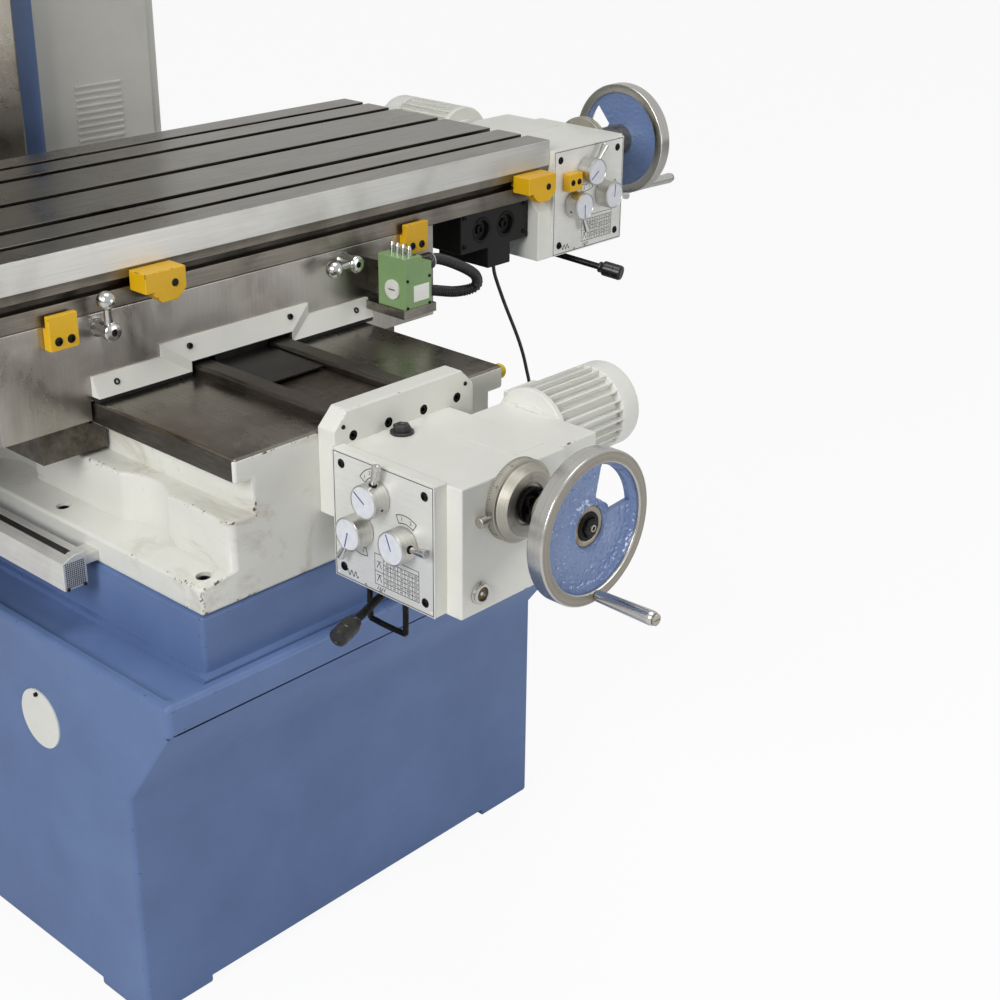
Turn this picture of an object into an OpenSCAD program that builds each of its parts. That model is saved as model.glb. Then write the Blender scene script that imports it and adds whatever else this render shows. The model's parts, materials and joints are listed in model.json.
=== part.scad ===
// Bed-type milling machine with a long table on a cross saddle, two gearbox feeds and a sliding head.
// The origin is on the floor, under the spindle's axis and the bed's centre line. X runs along the
// table to the right, Y to the column at the back, Z up.

/* [Base and bed] */
// Height of the machined face that carries the bed
base_top = 625; // [560:5:680]
// Height of the coolant tray's upper edge
tray_top = 547; // [500:1:552]
// Depth of the tray's edge
tray_edge = 44; // [30:1:60]
// Distance from the spindle's axis to the tray's front
tray_front = 586; // [580:2:620]
// Distance from the spindle's axis to the back of the base
base_back = 960; // [940:10:1100]
// Reach of the base to the left, where the tray and the lower body are flush
base_left = 401; // [380:1:440]
// Reach of the lower body to the right
body_right = 383; // [360:1:400]
// Reach of the tray to the right
tray_right = 456; // [440:1:500]
// Half the width of the seat that carries bed and column
seat_half = 310; // [300:1:320]
// Diameter of the round port's cover in the base
port_d = 88; // [60:1:110]
// Distance from the spindle's axis to the bed's front face
bed_front = 546; // [540:1:560]
// Distance from the spindle's axis to the bed's back end
bed_back = 505; // [480:1:510]
// Width over the bed's flat ways
bed_w = 490; // [470:2:510]
// Height of the bed from its foot to its ways
bed_h = 194; // [180:1:230]
// Thickness of the way plates that overhang the bed's walls
way_t = 34; // [26:1:40]
// Width of the raised centre guide
guide_w = 170; // [150:2:190]
// Height of the centre guide over the flat ways
guide_h = 15; // [10:1:20]

/* [Saddle and table] */
// Reach of the saddle to the left
saddle_left = 386; // [360:1:400]
// Reach of the saddle to the right
saddle_right = 402; // [380:1:410]
// Height of the saddle's table face over the flat ways
saddle_h = 120; // [105:1:140]
// Length of the table
table_l = 1800; // [1600:10:2000]
// Width of the table, and depth of the saddle under it
table_w = 500; // [480:2:520]
// Thickness of the table
table_t = 93; // [88:1:110]
// Distance of the table's right end from the spindle's axis in the drawn position
table_end = 676; // [660:1:690]
// Width of a T-slot's neck
slot_w = 18; // [14:1:22]
// Spacing of the T-slots
slot_pitch = 125; // [110:1:130]
// Number of T-slots
slot_n = 3; // [1:1:3]

/* [Feed units] */
// Height of the feed shaft over the bottom of its gearbox
shaft_up = 138; // [125:1:150]
// Depth of a gearbox in front of its flange
box_d = 209; // [195:1:220]
// Width of a gearbox
box_w = 193; // [180:1:210]
// Height of a gearbox
box_h = 179; // [170:1:190]
// Thickness of a gearbox's flange
flange_t = 32; // [24:1:40]
// Thickness of the cover behind the selector panel
cover_t = 20; // [14:1:28]
// Diameter of a feed handwheel
wheel_d = 200; // [180:2:230]
// Depth of a handwheel's rim
rim_t = 25; // [18:1:32]
// Diameter of a graduated dial
dial_d = 110; // [90:1:120]
// Diameter of a selector knob
knob_d = 46; // [34:1:48]
// Length of a selector knob
knob_l = 26; // [18:1:34]
// Length of a handwheel's handle
handle_l = 90; // [70:1:110]
// Reach of a feed lever from its pivot
lever_l = 150; // [130:1:170]
// Diameter of a feed motor over its fins
motor_d = 124; // [110:1:140]
// Length of a feed motor
motor_l = 174; // [150:1:200]

/* [Column and head] */
// Width of the column
column_w = 420; // [380:5:460]
// Depth of the column
column_d = 410; // [360:5:430]
// Distance from the spindle's axis to the column's front
throat = 520; // [515:1:540]
// Height of the column's top over the floor
column_top = 2130; // [2080:5:2300]
// Width of the guide plate on the column's front
rail_w = 300; // [260:2:320]
// Height of the spindle's nose over the floor in the drawn position
nose_z = 1382; // [1360:1:1420]
// Width of the head
head_w = 380; // [340:2:400]
// Height of the head
head_h = 450; // [420:2:480]
// Diameter of the spindle's nose, a 50 taper's
nose_d = 128.6; // [100:0.1:140]
// Diameter of the spindle motor
spindle_motor_d = 230; // [200:2:260]

/* [Fits] */
// Gap between flat faces that slide on each other
slide_gap = 0.1; // [0.05:0.05:0.3]
// Radial clearance of a turning shaft in its bore
run_gap = 0.05; // [0.02:0.01:0.1]
// Gap between a turning part and the face beside it
side_gap = 0.3; // [0.2:0.1:0.5]

/* [Hidden] */
$fn = 64;

way_z = base_top + bed_h;
saddle_z = way_z + saddle_h;
table_z = saddle_z + table_t;
table_x = table_end - table_l / 2;
saddle_front = table_w / 2;
wall_half = bed_w / 2 - 28;
keeper_reach = 79;
bolt_r = 6;

// Feed unit's own frame: shaft's axis at the origin, flange's back face on y = 0, dial towards -y,
// panel towards -x, motor towards +x.
y_unit = [6, -bed_front, base_top + shaft_up];
x_unit = [table_end - flange_t, 106 - table_w / 2, saddle_z + 30];
box_z = -shaft_up;
box_top = box_h - shaft_up;
box_x0 = -box_w / 2;
box_x1 = box_w / 2;
box_y = -flange_t - box_d;
cover_x = box_x0 - cover_t;
panel_t = 2;
panel_x = cover_x - panel_t;
panel_w = 184;
panel_h = 180;
panel_in = 17;
knobs = [[-116, 1], [-85, -53], [-164, -47]];
y_turns = [15, -148, 83];
x_turns = [40, 155, 103];
knob_shaft_r = 6;
knob_seat = 14;
knob_rod = 52;
lever_at = [-50, -85];
lever_boss_h = 16;
lever_shaft_r = 8;
shaft_r = 15;
dial_seat_r = 20;
dial_t = 26;
jaw_r = 24;
journal_r = 12;
dial_y = box_y - side_gap;
jaw_y = dial_y - dial_t - side_gap;
jaw_t = 12;
rim_y = box_y - 108;
hub_front = rim_y - rim_t + 14;
rim_w = 16;
handle_r = wheel_d / 2 - rim_w / 2;
pin_r = 5;
adapter_w = 73;
motor_at = [-114, 5];

// Shared shapes

module round_rect(w, d, r) {
    square([w - 2 * r, d], center = true);
    square([w, d - 2 * r], center = true);
    for (x = [-1, 1], y = [-1, 1])
        translate([x * (w / 2 - r), y * (d / 2 - r)]) circle(r);
}

// Outline given in Y and Z, drawn out along X from x0 to x1
module run_x(x0, x1) translate([x0, 0, 0]) rotate([90, 0, 90]) linear_extrude(x1 - x0) children();

// Outline given in X and Z, drawn out along Y from y0 to y1
module run_y(y0, y1) translate([0, y1, 0]) rotate([90, 0, 0]) linear_extrude(y1 - y0) children();

// Outline given in X and Y, drawn out along Z from z0 to z1
module run_z(z0, z1) translate([0, 0, z0]) linear_extrude(z1 - z0) children();

module box(x0, x1, y0, y1, z0, z1) translate([x0, y0, z0]) cube([x1 - x0, y1 - y0, z1 - z0]);

module rod_x(x0, x1, y, z, r) translate([x0, y, z]) rotate([0, 90, 0]) cylinder(r = r, h = x1 - x0);
module rod_y(x, y0, y1, z, r) translate([x, y0, z]) rotate([-90, 0, 0]) cylinder(r = r, h = y1 - y0);
module rod_z(x, y, z0, z1, r) translate([x, y, z0]) cylinder(r = r, h = z1 - z0);

// Socket head screw: the head sits on z = 0 and the shank points down
module cap_screw(r, l) {
    difference() {
        union() {
            cylinder(r = 1.5 * r, h = 2 * r);
            translate([0, 0, -l]) cylinder(r = r, h = l + 0.5);
        }
        translate([0, 0, r]) cylinder(r = 0.9 * r, h = r + 1, $fn = 6);
    }
}

// Tube swept along points: a ring of sides round each point, with one radius for each
function unit(v) = v / norm(v);
function direction(p, i) =
    unit(p[min(i + 1, len(p) - 1)] - p[max(i - 1, 0)]);
function ring(c, d, up, r, n) =
    let (u = unit(cross(d, up)), v = cross(u, d))
    [for (k = [0:n - 1]) c + r * (cos(360 * k / n) * u + sin(360 * k / n) * v)];
function smooth(p, n) = [
    for (i = [0:len(p) - 2], k = [0:n - 1])
        let (a = p[max(i - 1, 0)], b = p[i], c = p[i + 1], d = p[min(i + 2, len(p) - 1)], t = k / n)
        0.5 * (2 * b + (c - a) * t + (2 * a - 5 * b + 4 * c - d) * t * t
            + (3 * b - a - 3 * c + d) * t * t * t),
    p[len(p) - 1]
];

module swept(p, r, up, n) {
    m = len(p);
    pts = [for (i = [0:m - 1]) each ring(p[i], direction(p, i), up, r[i], n)];
    sides = [
        for (i = [0:m - 2], k = [0:n - 1])
            each [
                [i * n + k, (i + 1) * n + k, (i + 1) * n + (k + 1) % n],
                [i * n + k, (i + 1) * n + (k + 1) % n, i * n + (k + 1) % n]
            ]
    ];
    ends = [
        for (k = [1:n - 2])
            each [[0, k, k + 1], [(m - 1) * n, (m - 1) * n + k + 1, (m - 1) * n + k]]
    ];
    polyhedron(points = pts, faces = concat(sides, ends));
}

// Base: cast body with the coolant tray round the seat that carries bed and column

tray_bottom = tray_top - tray_edge;
slope_in = 101;
slope_h = 137;
gutter = 8;
lip = 14;
foot_l = 110;
foot_h = 15;
arch_in = 60;
anchor_r = 11;
anchor_x = base_left - 71;
anchor_y0 = -420;
anchor_y1 = 880;
anchor_deep = 60;
bed_bolt_x = seat_half - 27;
bed_bolts_y = [for (i = [0:3]) -bed_front + 26 + 309 * i];
column_front = throat;
column_back = throat + column_d;
column_foot = 40;
column_bolt_x = column_w / 2 + 40;
column_bolts_y = [column_front + 70, column_back - 70];
port_at = [-291, 411];

module tray_outline(inset) {
    x0 = -base_left + inset;
    x1 = tray_right - inset;
    y0 = -tray_front + inset;
    y1 = base_back - inset;
    translate([(x0 + x1) / 2, (y0 + y1) / 2]) round_rect(x1 - x0, y1 - y0, 10);
}

module base() {
    color("#4c6ca8") difference() {
        union() {
            run_x(-base_left, body_right)
                polygon([
                    [slope_in - tray_front, 0], [slope_in - tray_front, tray_bottom - slope_h],
                    [2 - tray_front, tray_bottom], [base_back - 2, tray_bottom], [base_back - 2, 0]
                ]);
            run_y(-tray_front + 12, base_back - 12)
                polygon([
                    [body_right - 1, tray_bottom - tray_right + body_right + 8],
                    [tray_right - 10, tray_bottom], [body_right - 1, tray_bottom]
                ]);
            run_z(tray_bottom, tray_top) tray_outline(0);
            intersection() {
                run_y(-bed_front - 10, base_back - 10)
                    polygon([
                        [-seat_half - 6, tray_bottom], [-seat_half, base_top],
                        [seat_half, base_top], [seat_half + 6, tray_bottom]
                    ]);
                run_x(-seat_half - 10, seat_half + 10)
                    polygon([
                        [-bed_front - 6, tray_bottom], [-bed_front, base_top],
                        [base_back - 20, base_top], [base_back - 14, tray_bottom]
                    ]);
            }
        }
        difference() {
            run_z(tray_top - gutter, tray_top + 1) tray_outline(lip);
            box(-seat_half - 12, seat_half + 12, -bed_front - 12, base_back - 9, 0, base_top);
        }
        for (y = [slope_in - tray_front - 1, base_back - arch_in])
            box(-base_left + foot_l, body_right - foot_l, y, y + arch_in + 1, -1, foot_h);
        for (x = [-base_left - 1, body_right - arch_in])
            box(x, x + arch_in + 1, slope_in - tray_front + foot_l, base_back - foot_l, -1, foot_h);
        for (x = [-anchor_x, anchor_x], y = [anchor_y0, anchor_y1])
            rod_z(x, y, -1, anchor_deep, anchor_r);
        for (x = [-bed_bolt_x, bed_bolt_x], y = bed_bolts_y)
            rod_z(x, y, base_top - 30, base_top + 1, bolt_r + run_gap);
        for (x = [-column_bolt_x, column_bolt_x], y = column_bolts_y)
            rod_z(x, y, base_top - 40, base_top + 1, bolt_r + run_gap);
        rod_x(-base_left - 1, -base_left + 40, port_at[0], port_at[1], port_d / 2 - 8);
        rod_x(-base_left - 1, -base_left + 12, port_at[0], port_at[1] + port_d / 2 - 5, 2 + run_gap);
    }
}

module port_cover() {
    color("white") difference() {
        rod_x(-base_left - 3, -base_left, port_at[0], port_at[1], port_d / 2);
        rod_x(-base_left - 4, -base_left + 1, port_at[0], port_at[1] + port_d / 2 - 5, 2.2);
    }
}

// Bed: feet, waved flanks, walls, way plates and centre guide over the screw's channel

foot_t = 38;
waist_half = bed_w / 2 + 13;
waist_z = base_top + 113;
channel_half = 52;
channel_z = base_top + 100;
rear_wall = 35;
scallop_r = 90;
scallop_in = 18;
plug_y = 20 - bed_front;
plug_stem_r = 6;

module bed() {
    color("#e8e8e2") difference() {
        union() {
            run_y(-bed_front, bed_back)
                polygon([
                    [-seat_half + 2, base_top], [-seat_half + 2, base_top + foot_t],
                    [-wall_half - 8, base_top + foot_t + 8], [-wall_half, waist_z + 10],
                    [-wall_half, way_z - way_t], [-bed_w / 2, way_z - way_t],
                    [-bed_w / 2, way_z], [-guide_w / 2, way_z], [-guide_w / 2, way_z + guide_h],
                    [guide_w / 2, way_z + guide_h], [guide_w / 2, way_z], [bed_w / 2, way_z],
                    [bed_w / 2, way_z - way_t], [wall_half, way_z - way_t],
                    [wall_half, waist_z + 10], [wall_half + 8, base_top + foot_t + 8],
                    [seat_half - 2, base_top + foot_t], [seat_half - 2, base_top]
                ]);
            run_z(base_top + 10, waist_z) difference() {
                translate([0, (bed_back - bed_front) / 2])
                    round_rect(2 * waist_half, bed_back + bed_front, 12);
                for (s = [-1, 1], i = [0:2])
                    translate([
                        s * (waist_half + scallop_r - scallop_in),
                        (bed_bolts_y[i] + bed_bolts_y[i + 1]) / 2
                    ]) circle(scallop_r);
            }
        }
        box(-channel_half, channel_half, -bed_front - 1, bed_back - rear_wall,
            channel_z, way_z + guide_h + 1);
        rod_y(y_unit[0], bed_back - rear_wall - 1, bed_back + 1, y_unit[2], journal_r + run_gap);
        for (x = [-bed_bolt_x, bed_bolt_x], y = bed_bolts_y) {
            rod_z(x, y, base_top - 1, base_top + foot_t + 1, bolt_r + 0.5);
            rod_z(x, y, base_top + foot_t - 2 * bolt_r - 1, waist_z + 1, 1.5 * bolt_r + 1.5);
        }
        for (b = flange_bolts)
            rod_y(y_unit[0] + b, -bed_front - 1, -bed_front + 20, y_unit[2] + flange_bolt_z,
                flange_screw_r + run_gap);
        rod_x(bed_w / 2 - 14, bed_w / 2 + 1, plug_y, way_z - way_t / 2, plug_stem_r + run_gap);
    }
}

module way_plug() {
    color("gold") {
        rod_x(bed_w / 2 - 10, bed_w / 2 + 4, plug_y, way_z - way_t / 2, plug_stem_r);
        rod_x(bed_w / 2 + 3, bed_w / 2 + 20, plug_y, way_z - way_t / 2, 11);
    }
}

// Screws that hold bed, column, feed unit and port cover
module cap_screws() {
    color("#2b2b2b") {
        for (x = [-bed_bolt_x, bed_bolt_x], y = bed_bolts_y)
            translate([x, y, base_top + foot_t - 2 * bolt_r - 1])
                cap_screw(bolt_r, foot_t - 2 * bolt_r - 1 + 25);
        for (x = [-column_bolt_x, column_bolt_x], y = column_bolts_y)
            translate([x, y, base_top + column_foot - 2 * bolt_r - 1])
                cap_screw(bolt_r, column_foot - 2 * bolt_r - 1 + 35);
        for (b = flange_bolts)
            translate(y_unit + [b, -flange_t + flange_screw_in, flange_bolt_z]) rotate([90, 0, 0])
                cap_screw(flange_screw_r, flange_t - flange_screw_in + 16);
        translate([-base_left - 3, port_at[0], port_at[1] + port_d / 2 - 5]) rotate([0, -90, 0])
            cap_screw(2, 12);
    }
}

// Scale housing on the bed's left side, along the saddle's travel, on two bars screwed to the seat

scale_x = -35 - max(seat_half, bed_w / 2 + keeper_reach - 14);
scale_y0 = -saddle_front - 80;
scale_y1 = saddle_front + 80;
scale_z = base_top + 2;

module dro_scale() {
    color("#d9dbdc") {
        difference() {
            run_y(scale_y0, scale_y1)
                polygon([
                    [scale_x - 22, scale_z - 22], [scale_x - 22, scale_z + 18],
                    [scale_x - 4, scale_z + 26], [scale_x + 14, scale_z + 26],
                    [scale_x + 14, scale_z - 22]
                ]);
            box(scale_x - 8, scale_x + 2, scale_y0 + 14, scale_y1 - 14, scale_z + 4, scale_z + 27);
        }
        for (y = [scale_y0 + 4, scale_y1 - 34])
            box(scale_x + 13, 2 - seat_half, y, y + 30, scale_z + 4, scale_z + 18);
    }
}

module dro_reader() {
    color("#9a9da0") {
        box(scale_x - 6.5, scale_x + 0.5, -50, 50, scale_z + 8, scale_z + 40);
        box(scale_x - 20, scale_x + 12, -50, 50, scale_z + 27, scale_z + 52);
        box(scale_x - 14, scale_x + 2, -30, 30, scale_z + 52, way_z - 27);
    }
}

// Feed screw with the shaft, dial seat and clutch jaws in front of it. y_wall is the face of the
// far bearing, y_back the screw's end in it.
screw_r = 16;
screw_y = 8;

module feed_screw(y_wall, y_back) {
    color("#8a8c8e") {
        rod_y(0, screw_y, y_wall - side_gap, 0, screw_r);
        rod_y(0, y_wall - side_gap - 1, y_back, 0, journal_r);
        rod_y(0, dial_y, screw_y + 1, 0, shaft_r);
        rod_y(0, jaw_y - jaw_t, dial_y, 0, dial_seat_r);
    }
    color("#3a3a3a") {
        difference() {
            rod_y(0, jaw_y - jaw_t, jaw_y, 0, jaw_r);
            for (a = [0, 90])
                rotate([0, a, 0]) box(-jaw_r - 1, jaw_r + 1, jaw_y - jaw_t - 1, jaw_y - jaw_t / 2, -5, 5);
        }
        rod_y(0, hub_front - side_gap - 1, jaw_y - jaw_t + 1, 0, journal_r);
        rod_y(0, hub_front - side_gap - 10, hub_front - side_gap, 0, journal_r + 5);
    }
}

module at_y_unit() translate(y_unit) children();
module at_x_unit() translate(x_unit) rotate([0, 0, 90]) children();

// Gearbox casting: flange, box with the cover seat and the adapter of the motor.
// flange_z is the flange's lower and upper edge, bolts the places of its screws.
flange_x = [-114, 144];
flange_bolts = [-81, -18, 47, 111];
flange_bolt_z = 50;
flange_screw_r = bolt_r - 2;
flange_screw_in = 9;
plug_at = [-16, -55];
sight_at = [-65, -109];

module feed_housing(flange_z, bolts) {
    difference() {
        union() {
            run_y(-flange_t, 0)
                polygon([
                    [flange_x[0], flange_z[0]], [flange_x[0], flange_z[1] - 24],
                    [flange_x[0] + 24, flange_z[1]], [flange_x[1] - 24, flange_z[1]],
                    [flange_x[1], flange_z[1] - 24], [flange_x[1], flange_z[0]]
                ]);
            run_z(box_z, box_top) translate([0, (box_y - flange_t) / 2])
                round_rect(box_w, box_d, 3);
            box(cover_x, box_x0 + 1, box_y + 25, -flange_t, box_z + 2, box_top + 3);
            run_x(box_x1 - 1, box_x1 + adapter_w)
                polygon([
                    [box_y + 9, -62], [box_y + 9, 39], [-70, 39], [-48, 20], [-48, -62],
                    [-70, -82], [box_y + 29, -82]
                ]);
        }
        rod_y(0, box_y - 1, 1, 0, shaft_r + run_gap);
        for (b = bolts) {
            rod_y(b, -flange_t - 1, 1, flange_bolt_z, flange_screw_r + 0.5);
            rod_y(b, -flange_t - 1, -flange_t + flange_screw_in, flange_bolt_z,
                1.5 * flange_screw_r + 1);
        }
        for (k = knobs)
            rod_x(cover_x - 1, cover_x + knob_seat + 1, k[0], k[1], knob_shaft_r + run_gap);
        rod_z(lever_at[0], lever_at[1], box_z - 1, box_z + 31, lever_shaft_r + run_gap);
        rod_x(box_x1 + adapter_w - 8, box_x1 + adapter_w + 1, motor_at[0], motor_at[1], 40 + run_gap);
    }
}

module y_gearbox() {
    color("#e8e8e2") at_y_unit() {
        difference() {
            feed_housing([-58, 87], flange_bolts);
            rod_z(plug_at[0], plug_at[1], box_top - 14, box_top + 1, 8 + run_gap);
            rod_y(sight_at[0], box_y - 1, box_y + 12, sight_at[1], 12 + run_gap);
        }
    }
    color("#2b2b2b") at_y_unit() swept(
        smooth([
            [-104, -82, box_z + 8], [-104, -82, box_z - 44], [-104, -89, box_z - 51],
            [-104, -141, box_z - 51], [-104, -148, box_z - 44], [-104, -148, box_z + 8]
        ], 3),
        [for (i = [0:15]) 4], [1, 0, 0], 8);
}

module y_sight_glass() {
    color("silver") at_y_unit() difference() {
        union() {
            rod_y(sight_at[0], box_y - 8, box_y, sight_at[1], 15);
            rod_y(sight_at[0], box_y - 1, box_y + 10, sight_at[1], 12);
        }
        rod_y(sight_at[0], box_y - 9, box_y - 5, sight_at[1], 9.5);
    }
}

module y_oil_plug() {
    color("#222222") at_y_unit() {
        rod_z(plug_at[0], plug_at[1], box_top - 12, box_top + 1, 8);
        rod_z(plug_at[0], plug_at[1], box_top, box_top + 4, 16);
        translate([plug_at[0], plug_at[1], box_top + 3]) cylinder(r = 12, h = 9, $fn = 6);
    }
}

module selector_panel() {
    difference() {
        box(panel_x, cover_x, -flange_t - panel_w, -flange_t, box_z + 2, box_z + 2 + panel_h);
        for (k = knobs) rod_x(panel_x - 1, cover_x + 1, k[0], k[1], knob_shaft_r + 1);
    }
    for (y = [-flange_t - panel_in, -flange_t - panel_w + panel_in],
         z = [box_z + 2 + panel_in, box_z + 2 + panel_h - panel_in])
        rod_x(panel_x - 2, panel_x, y, z, 5.5);
}

module y_panel() color("#dcdcdc") at_y_unit() selector_panel();
module x_panel() color("#dcdcdc") at_x_unit() selector_panel();

// Selector knob: round body, stem in the box and a small rod to turn it by
module selector_knob(i, turn) {
    k = knobs[i];
    rod_x(panel_x - side_gap - knob_l, panel_x - side_gap, k[0], k[1], knob_d / 2);
    rod_x(panel_x - side_gap - 1, cover_x + knob_seat, k[0], k[1], knob_shaft_r);
    translate([panel_x - side_gap - knob_l / 2, k[0], k[1]]) rotate([turn, 0, 0])
        difference() {
            translate([0, 0, knob_d / 2 - 3]) cylinder(r1 = 3.5, r2 = 6.5, h = knob_rod - knob_d / 2 + 3);
            translate([0, 0, knob_rod - 2]) cylinder(r = 2, h = 3);
        }
}

module y_knob_1() color("silver") at_y_unit() selector_knob(0, y_turns[0]);
module y_knob_2() color("silver") at_y_unit() selector_knob(1, y_turns[1]);
module y_knob_3() color("silver") at_y_unit() selector_knob(2, y_turns[2]);
module x_knob_1() color("silver") at_x_unit() selector_knob(0, x_turns[0]);
module x_knob_2() color("silver") at_x_unit() selector_knob(1, x_turns[1]);
module x_knob_3() color("silver") at_x_unit() selector_knob(2, x_turns[2]);

// Feed lever under the gearbox: boss on an upright shaft, sloping arm and grip
module feed_lever(turn) {
    rod_z(lever_at[0], lever_at[1], box_z - side_gap - lever_boss_h, box_z + 30, lever_shaft_r);
    rod_z(lever_at[0], lever_at[1], box_z - side_gap - lever_boss_h, box_z - side_gap, 15);
    translate([lever_at[0], lever_at[1], box_z - side_gap - lever_boss_h / 2])
        rotate([0, 0, turn]) rotate([0, -100, 0]) {
            cylinder(r = 5.5, h = lever_l - 38);
            translate([0, 0, lever_l - 42]) cylinder(r1 = 9, r2 = 13, h = 8);
            translate([0, 0, lever_l - 34]) cylinder(r = 13, h = 32);
            translate([0, 0, lever_l - 2]) cylinder(r1 = 13, r2 = 11, h = 2);
        }
}

module y_feed_lever() color("#1d1d1d") at_y_unit() feed_lever(12);
module x_feed_lever() color("#1d1d1d") at_x_unit() feed_lever(21);

// Graduated dial that turns on the feed shaft, with the screw that locks it
module feed_dial() {
    difference() {
        union() {
            rod_y(0, dial_y - 14, dial_y, 0, dial_d / 2);
            translate([0, dial_y - 14, 0]) rotate([90, 0, 0])
                cylinder(r1 = dial_d / 2, r2 = dial_d / 2 - 12, h = dial_t - 14);
        }
        rod_y(0, dial_y - dial_t - 1, dial_y + 1, 0, dial_seat_r + run_gap);
        translate([0, dial_y - dial_t, 0]) rotate([90, 0, 0])
            translate([0, 0, -4]) cylinder(r = dial_seat_r + 8, h = 5);
    }
    rod_x(-dial_d / 2 - 14, 1 - dial_d / 2, dial_y - 7, -8, 4);
    rod_x(-dial_d / 2 - 20, -dial_d / 2 - 6, dial_y - 7, -8, 7);
}

module y_dial() color("#a8a8a6") at_y_unit() feed_dial();
module x_dial() color("#a8a8a6") at_x_unit() feed_dial();

// Handwheel: hub with jaws, disc web with one window, machined rim and the handle's pin
window_from = 8;
window_to = 74;
wheel_turn = 86;
x_wheel_turn = 28;

module handwheel() {
    rim_in = wheel_d / 2 - rim_w;
    web_y = hub_front + 2;
    difference() {
        union() {
            translate([0, rim_y, 0]) rotate([90, 0, 0]) rotate_extrude($fn = 96)
                polygon([
                    [rim_in, 2], [rim_in + 2, 0], [wheel_d / 2 - 2, 0], [wheel_d / 2, 2],
                    [wheel_d / 2, rim_t - 2], [wheel_d / 2 - 2, rim_t], [rim_in + 2, rim_t],
                    [rim_in, rim_t - 2]
                ]);
            rod_y(0, web_y, web_y + 9, 0, rim_in + 1);
            rod_y(0, hub_front, jaw_y - jaw_t - 12, 0, 27);
        }
        run_y(web_y - 1, web_y + 10) difference() {
            polygon([
                for (a = [window_from, window_to]) 130 * [cos(a), sin(a)],
                [0, 0]
            ]);
            circle(36);
            difference() {
                circle(200);
                circle(rim_in - 5);
            }
        }
        rod_y(0, hub_front - 1, jaw_y, 0, journal_r + run_gap);
        for (a = [0, 90])
            rotate([0, a, 0])
                box(-28, 28, jaw_y - jaw_t - 18, jaw_y - jaw_t - 11, -5, 5);
    }
    rotate([0, wheel_turn, 0]) {
        rod_y(handle_r, rim_y - rim_t - handle_l - 0.6, rim_y - rim_t + 1, 0, pin_r);
        rod_y(handle_r, rim_y - rim_t - handle_l - 3.6, rim_y - rim_t - handle_l - 0.6, 0, pin_r + 2);
    }
}

module handwheel_handle() {
    rotate([0, wheel_turn, 0]) translate([handle_r, rim_y - rim_t - side_gap, 0])
        rotate([90, 0, 0]) rotate_extrude()
            polygon([
                [pin_r + run_gap, 0], [7, 0], [7.6, 3], [8.6, handle_l - 6],
                [7.6, handle_l - side_gap], [pin_r + run_gap, handle_l - side_gap]
            ]);
}

module y_handwheel() color("#5577b5") at_y_unit() handwheel();
module x_handwheel() color("#5577b5") at_x_unit() rotate([0, x_wheel_turn, 0]) handwheel();
module y_handle() color("silver") at_y_unit() handwheel_handle();
module x_handle() color("silver") at_x_unit() rotate([0, x_wheel_turn, 0]) handwheel_handle();

// Feed motor: finned body, flange, fan cowl and terminal box
fin_n = 28;
fin_t = 3;

module feed_motor() {
    x0 = box_x1 + adapter_w;
    x1 = x0 + motor_l;
    y = motor_at[0];
    z = motor_at[1];
    rod_x(x0 - 7, x0 + 1, y, z, 40);
    rod_x(x0, x0 + 10, y, z, motor_d / 2);
    rod_x(x0 + 9, x1 - 45, y, z, motor_d / 2 - 10);
    for (i = [0:fin_n - 1])
        translate([0, y, z]) rotate([360 / fin_n * (i + 0.5), 0, 0])
            box(x0 + 9, x1 - 44, -fin_t / 2, fin_t / 2, motor_d / 2 - 14, motor_d / 2);
    rod_x(x1 - 45, x1 - 8, y, z, motor_d / 2);
    rod_x(x1 - 9, x1, y, z, motor_d / 2 - 10);
    box(x0 + 35, x0 + 100, y + motor_d / 2 - 12, y + motor_d / 2 + 20, z - 30, z + 30);
}

module y_motor() color("#eeeeea") at_y_unit() feed_motor();
module x_motor() color("#eeeeea") at_x_unit() feed_motor();

module y_screw()
    at_y_unit() feed_screw(bed_front + bed_back - rear_wall, bed_front + bed_back);

// Saddle: bridge over the bed, dovetail for the table and the nut of the bed's screw

way_clear = 3;
skirt = 27;
dove_half = 100;
dove_h = 32;
dove_in = 18;
nut_half = 28;
nut_l = 60;
x_screw_y = x_unit[1];
x_screw_z = x_unit[2];
x_nut_half = 22;

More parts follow.
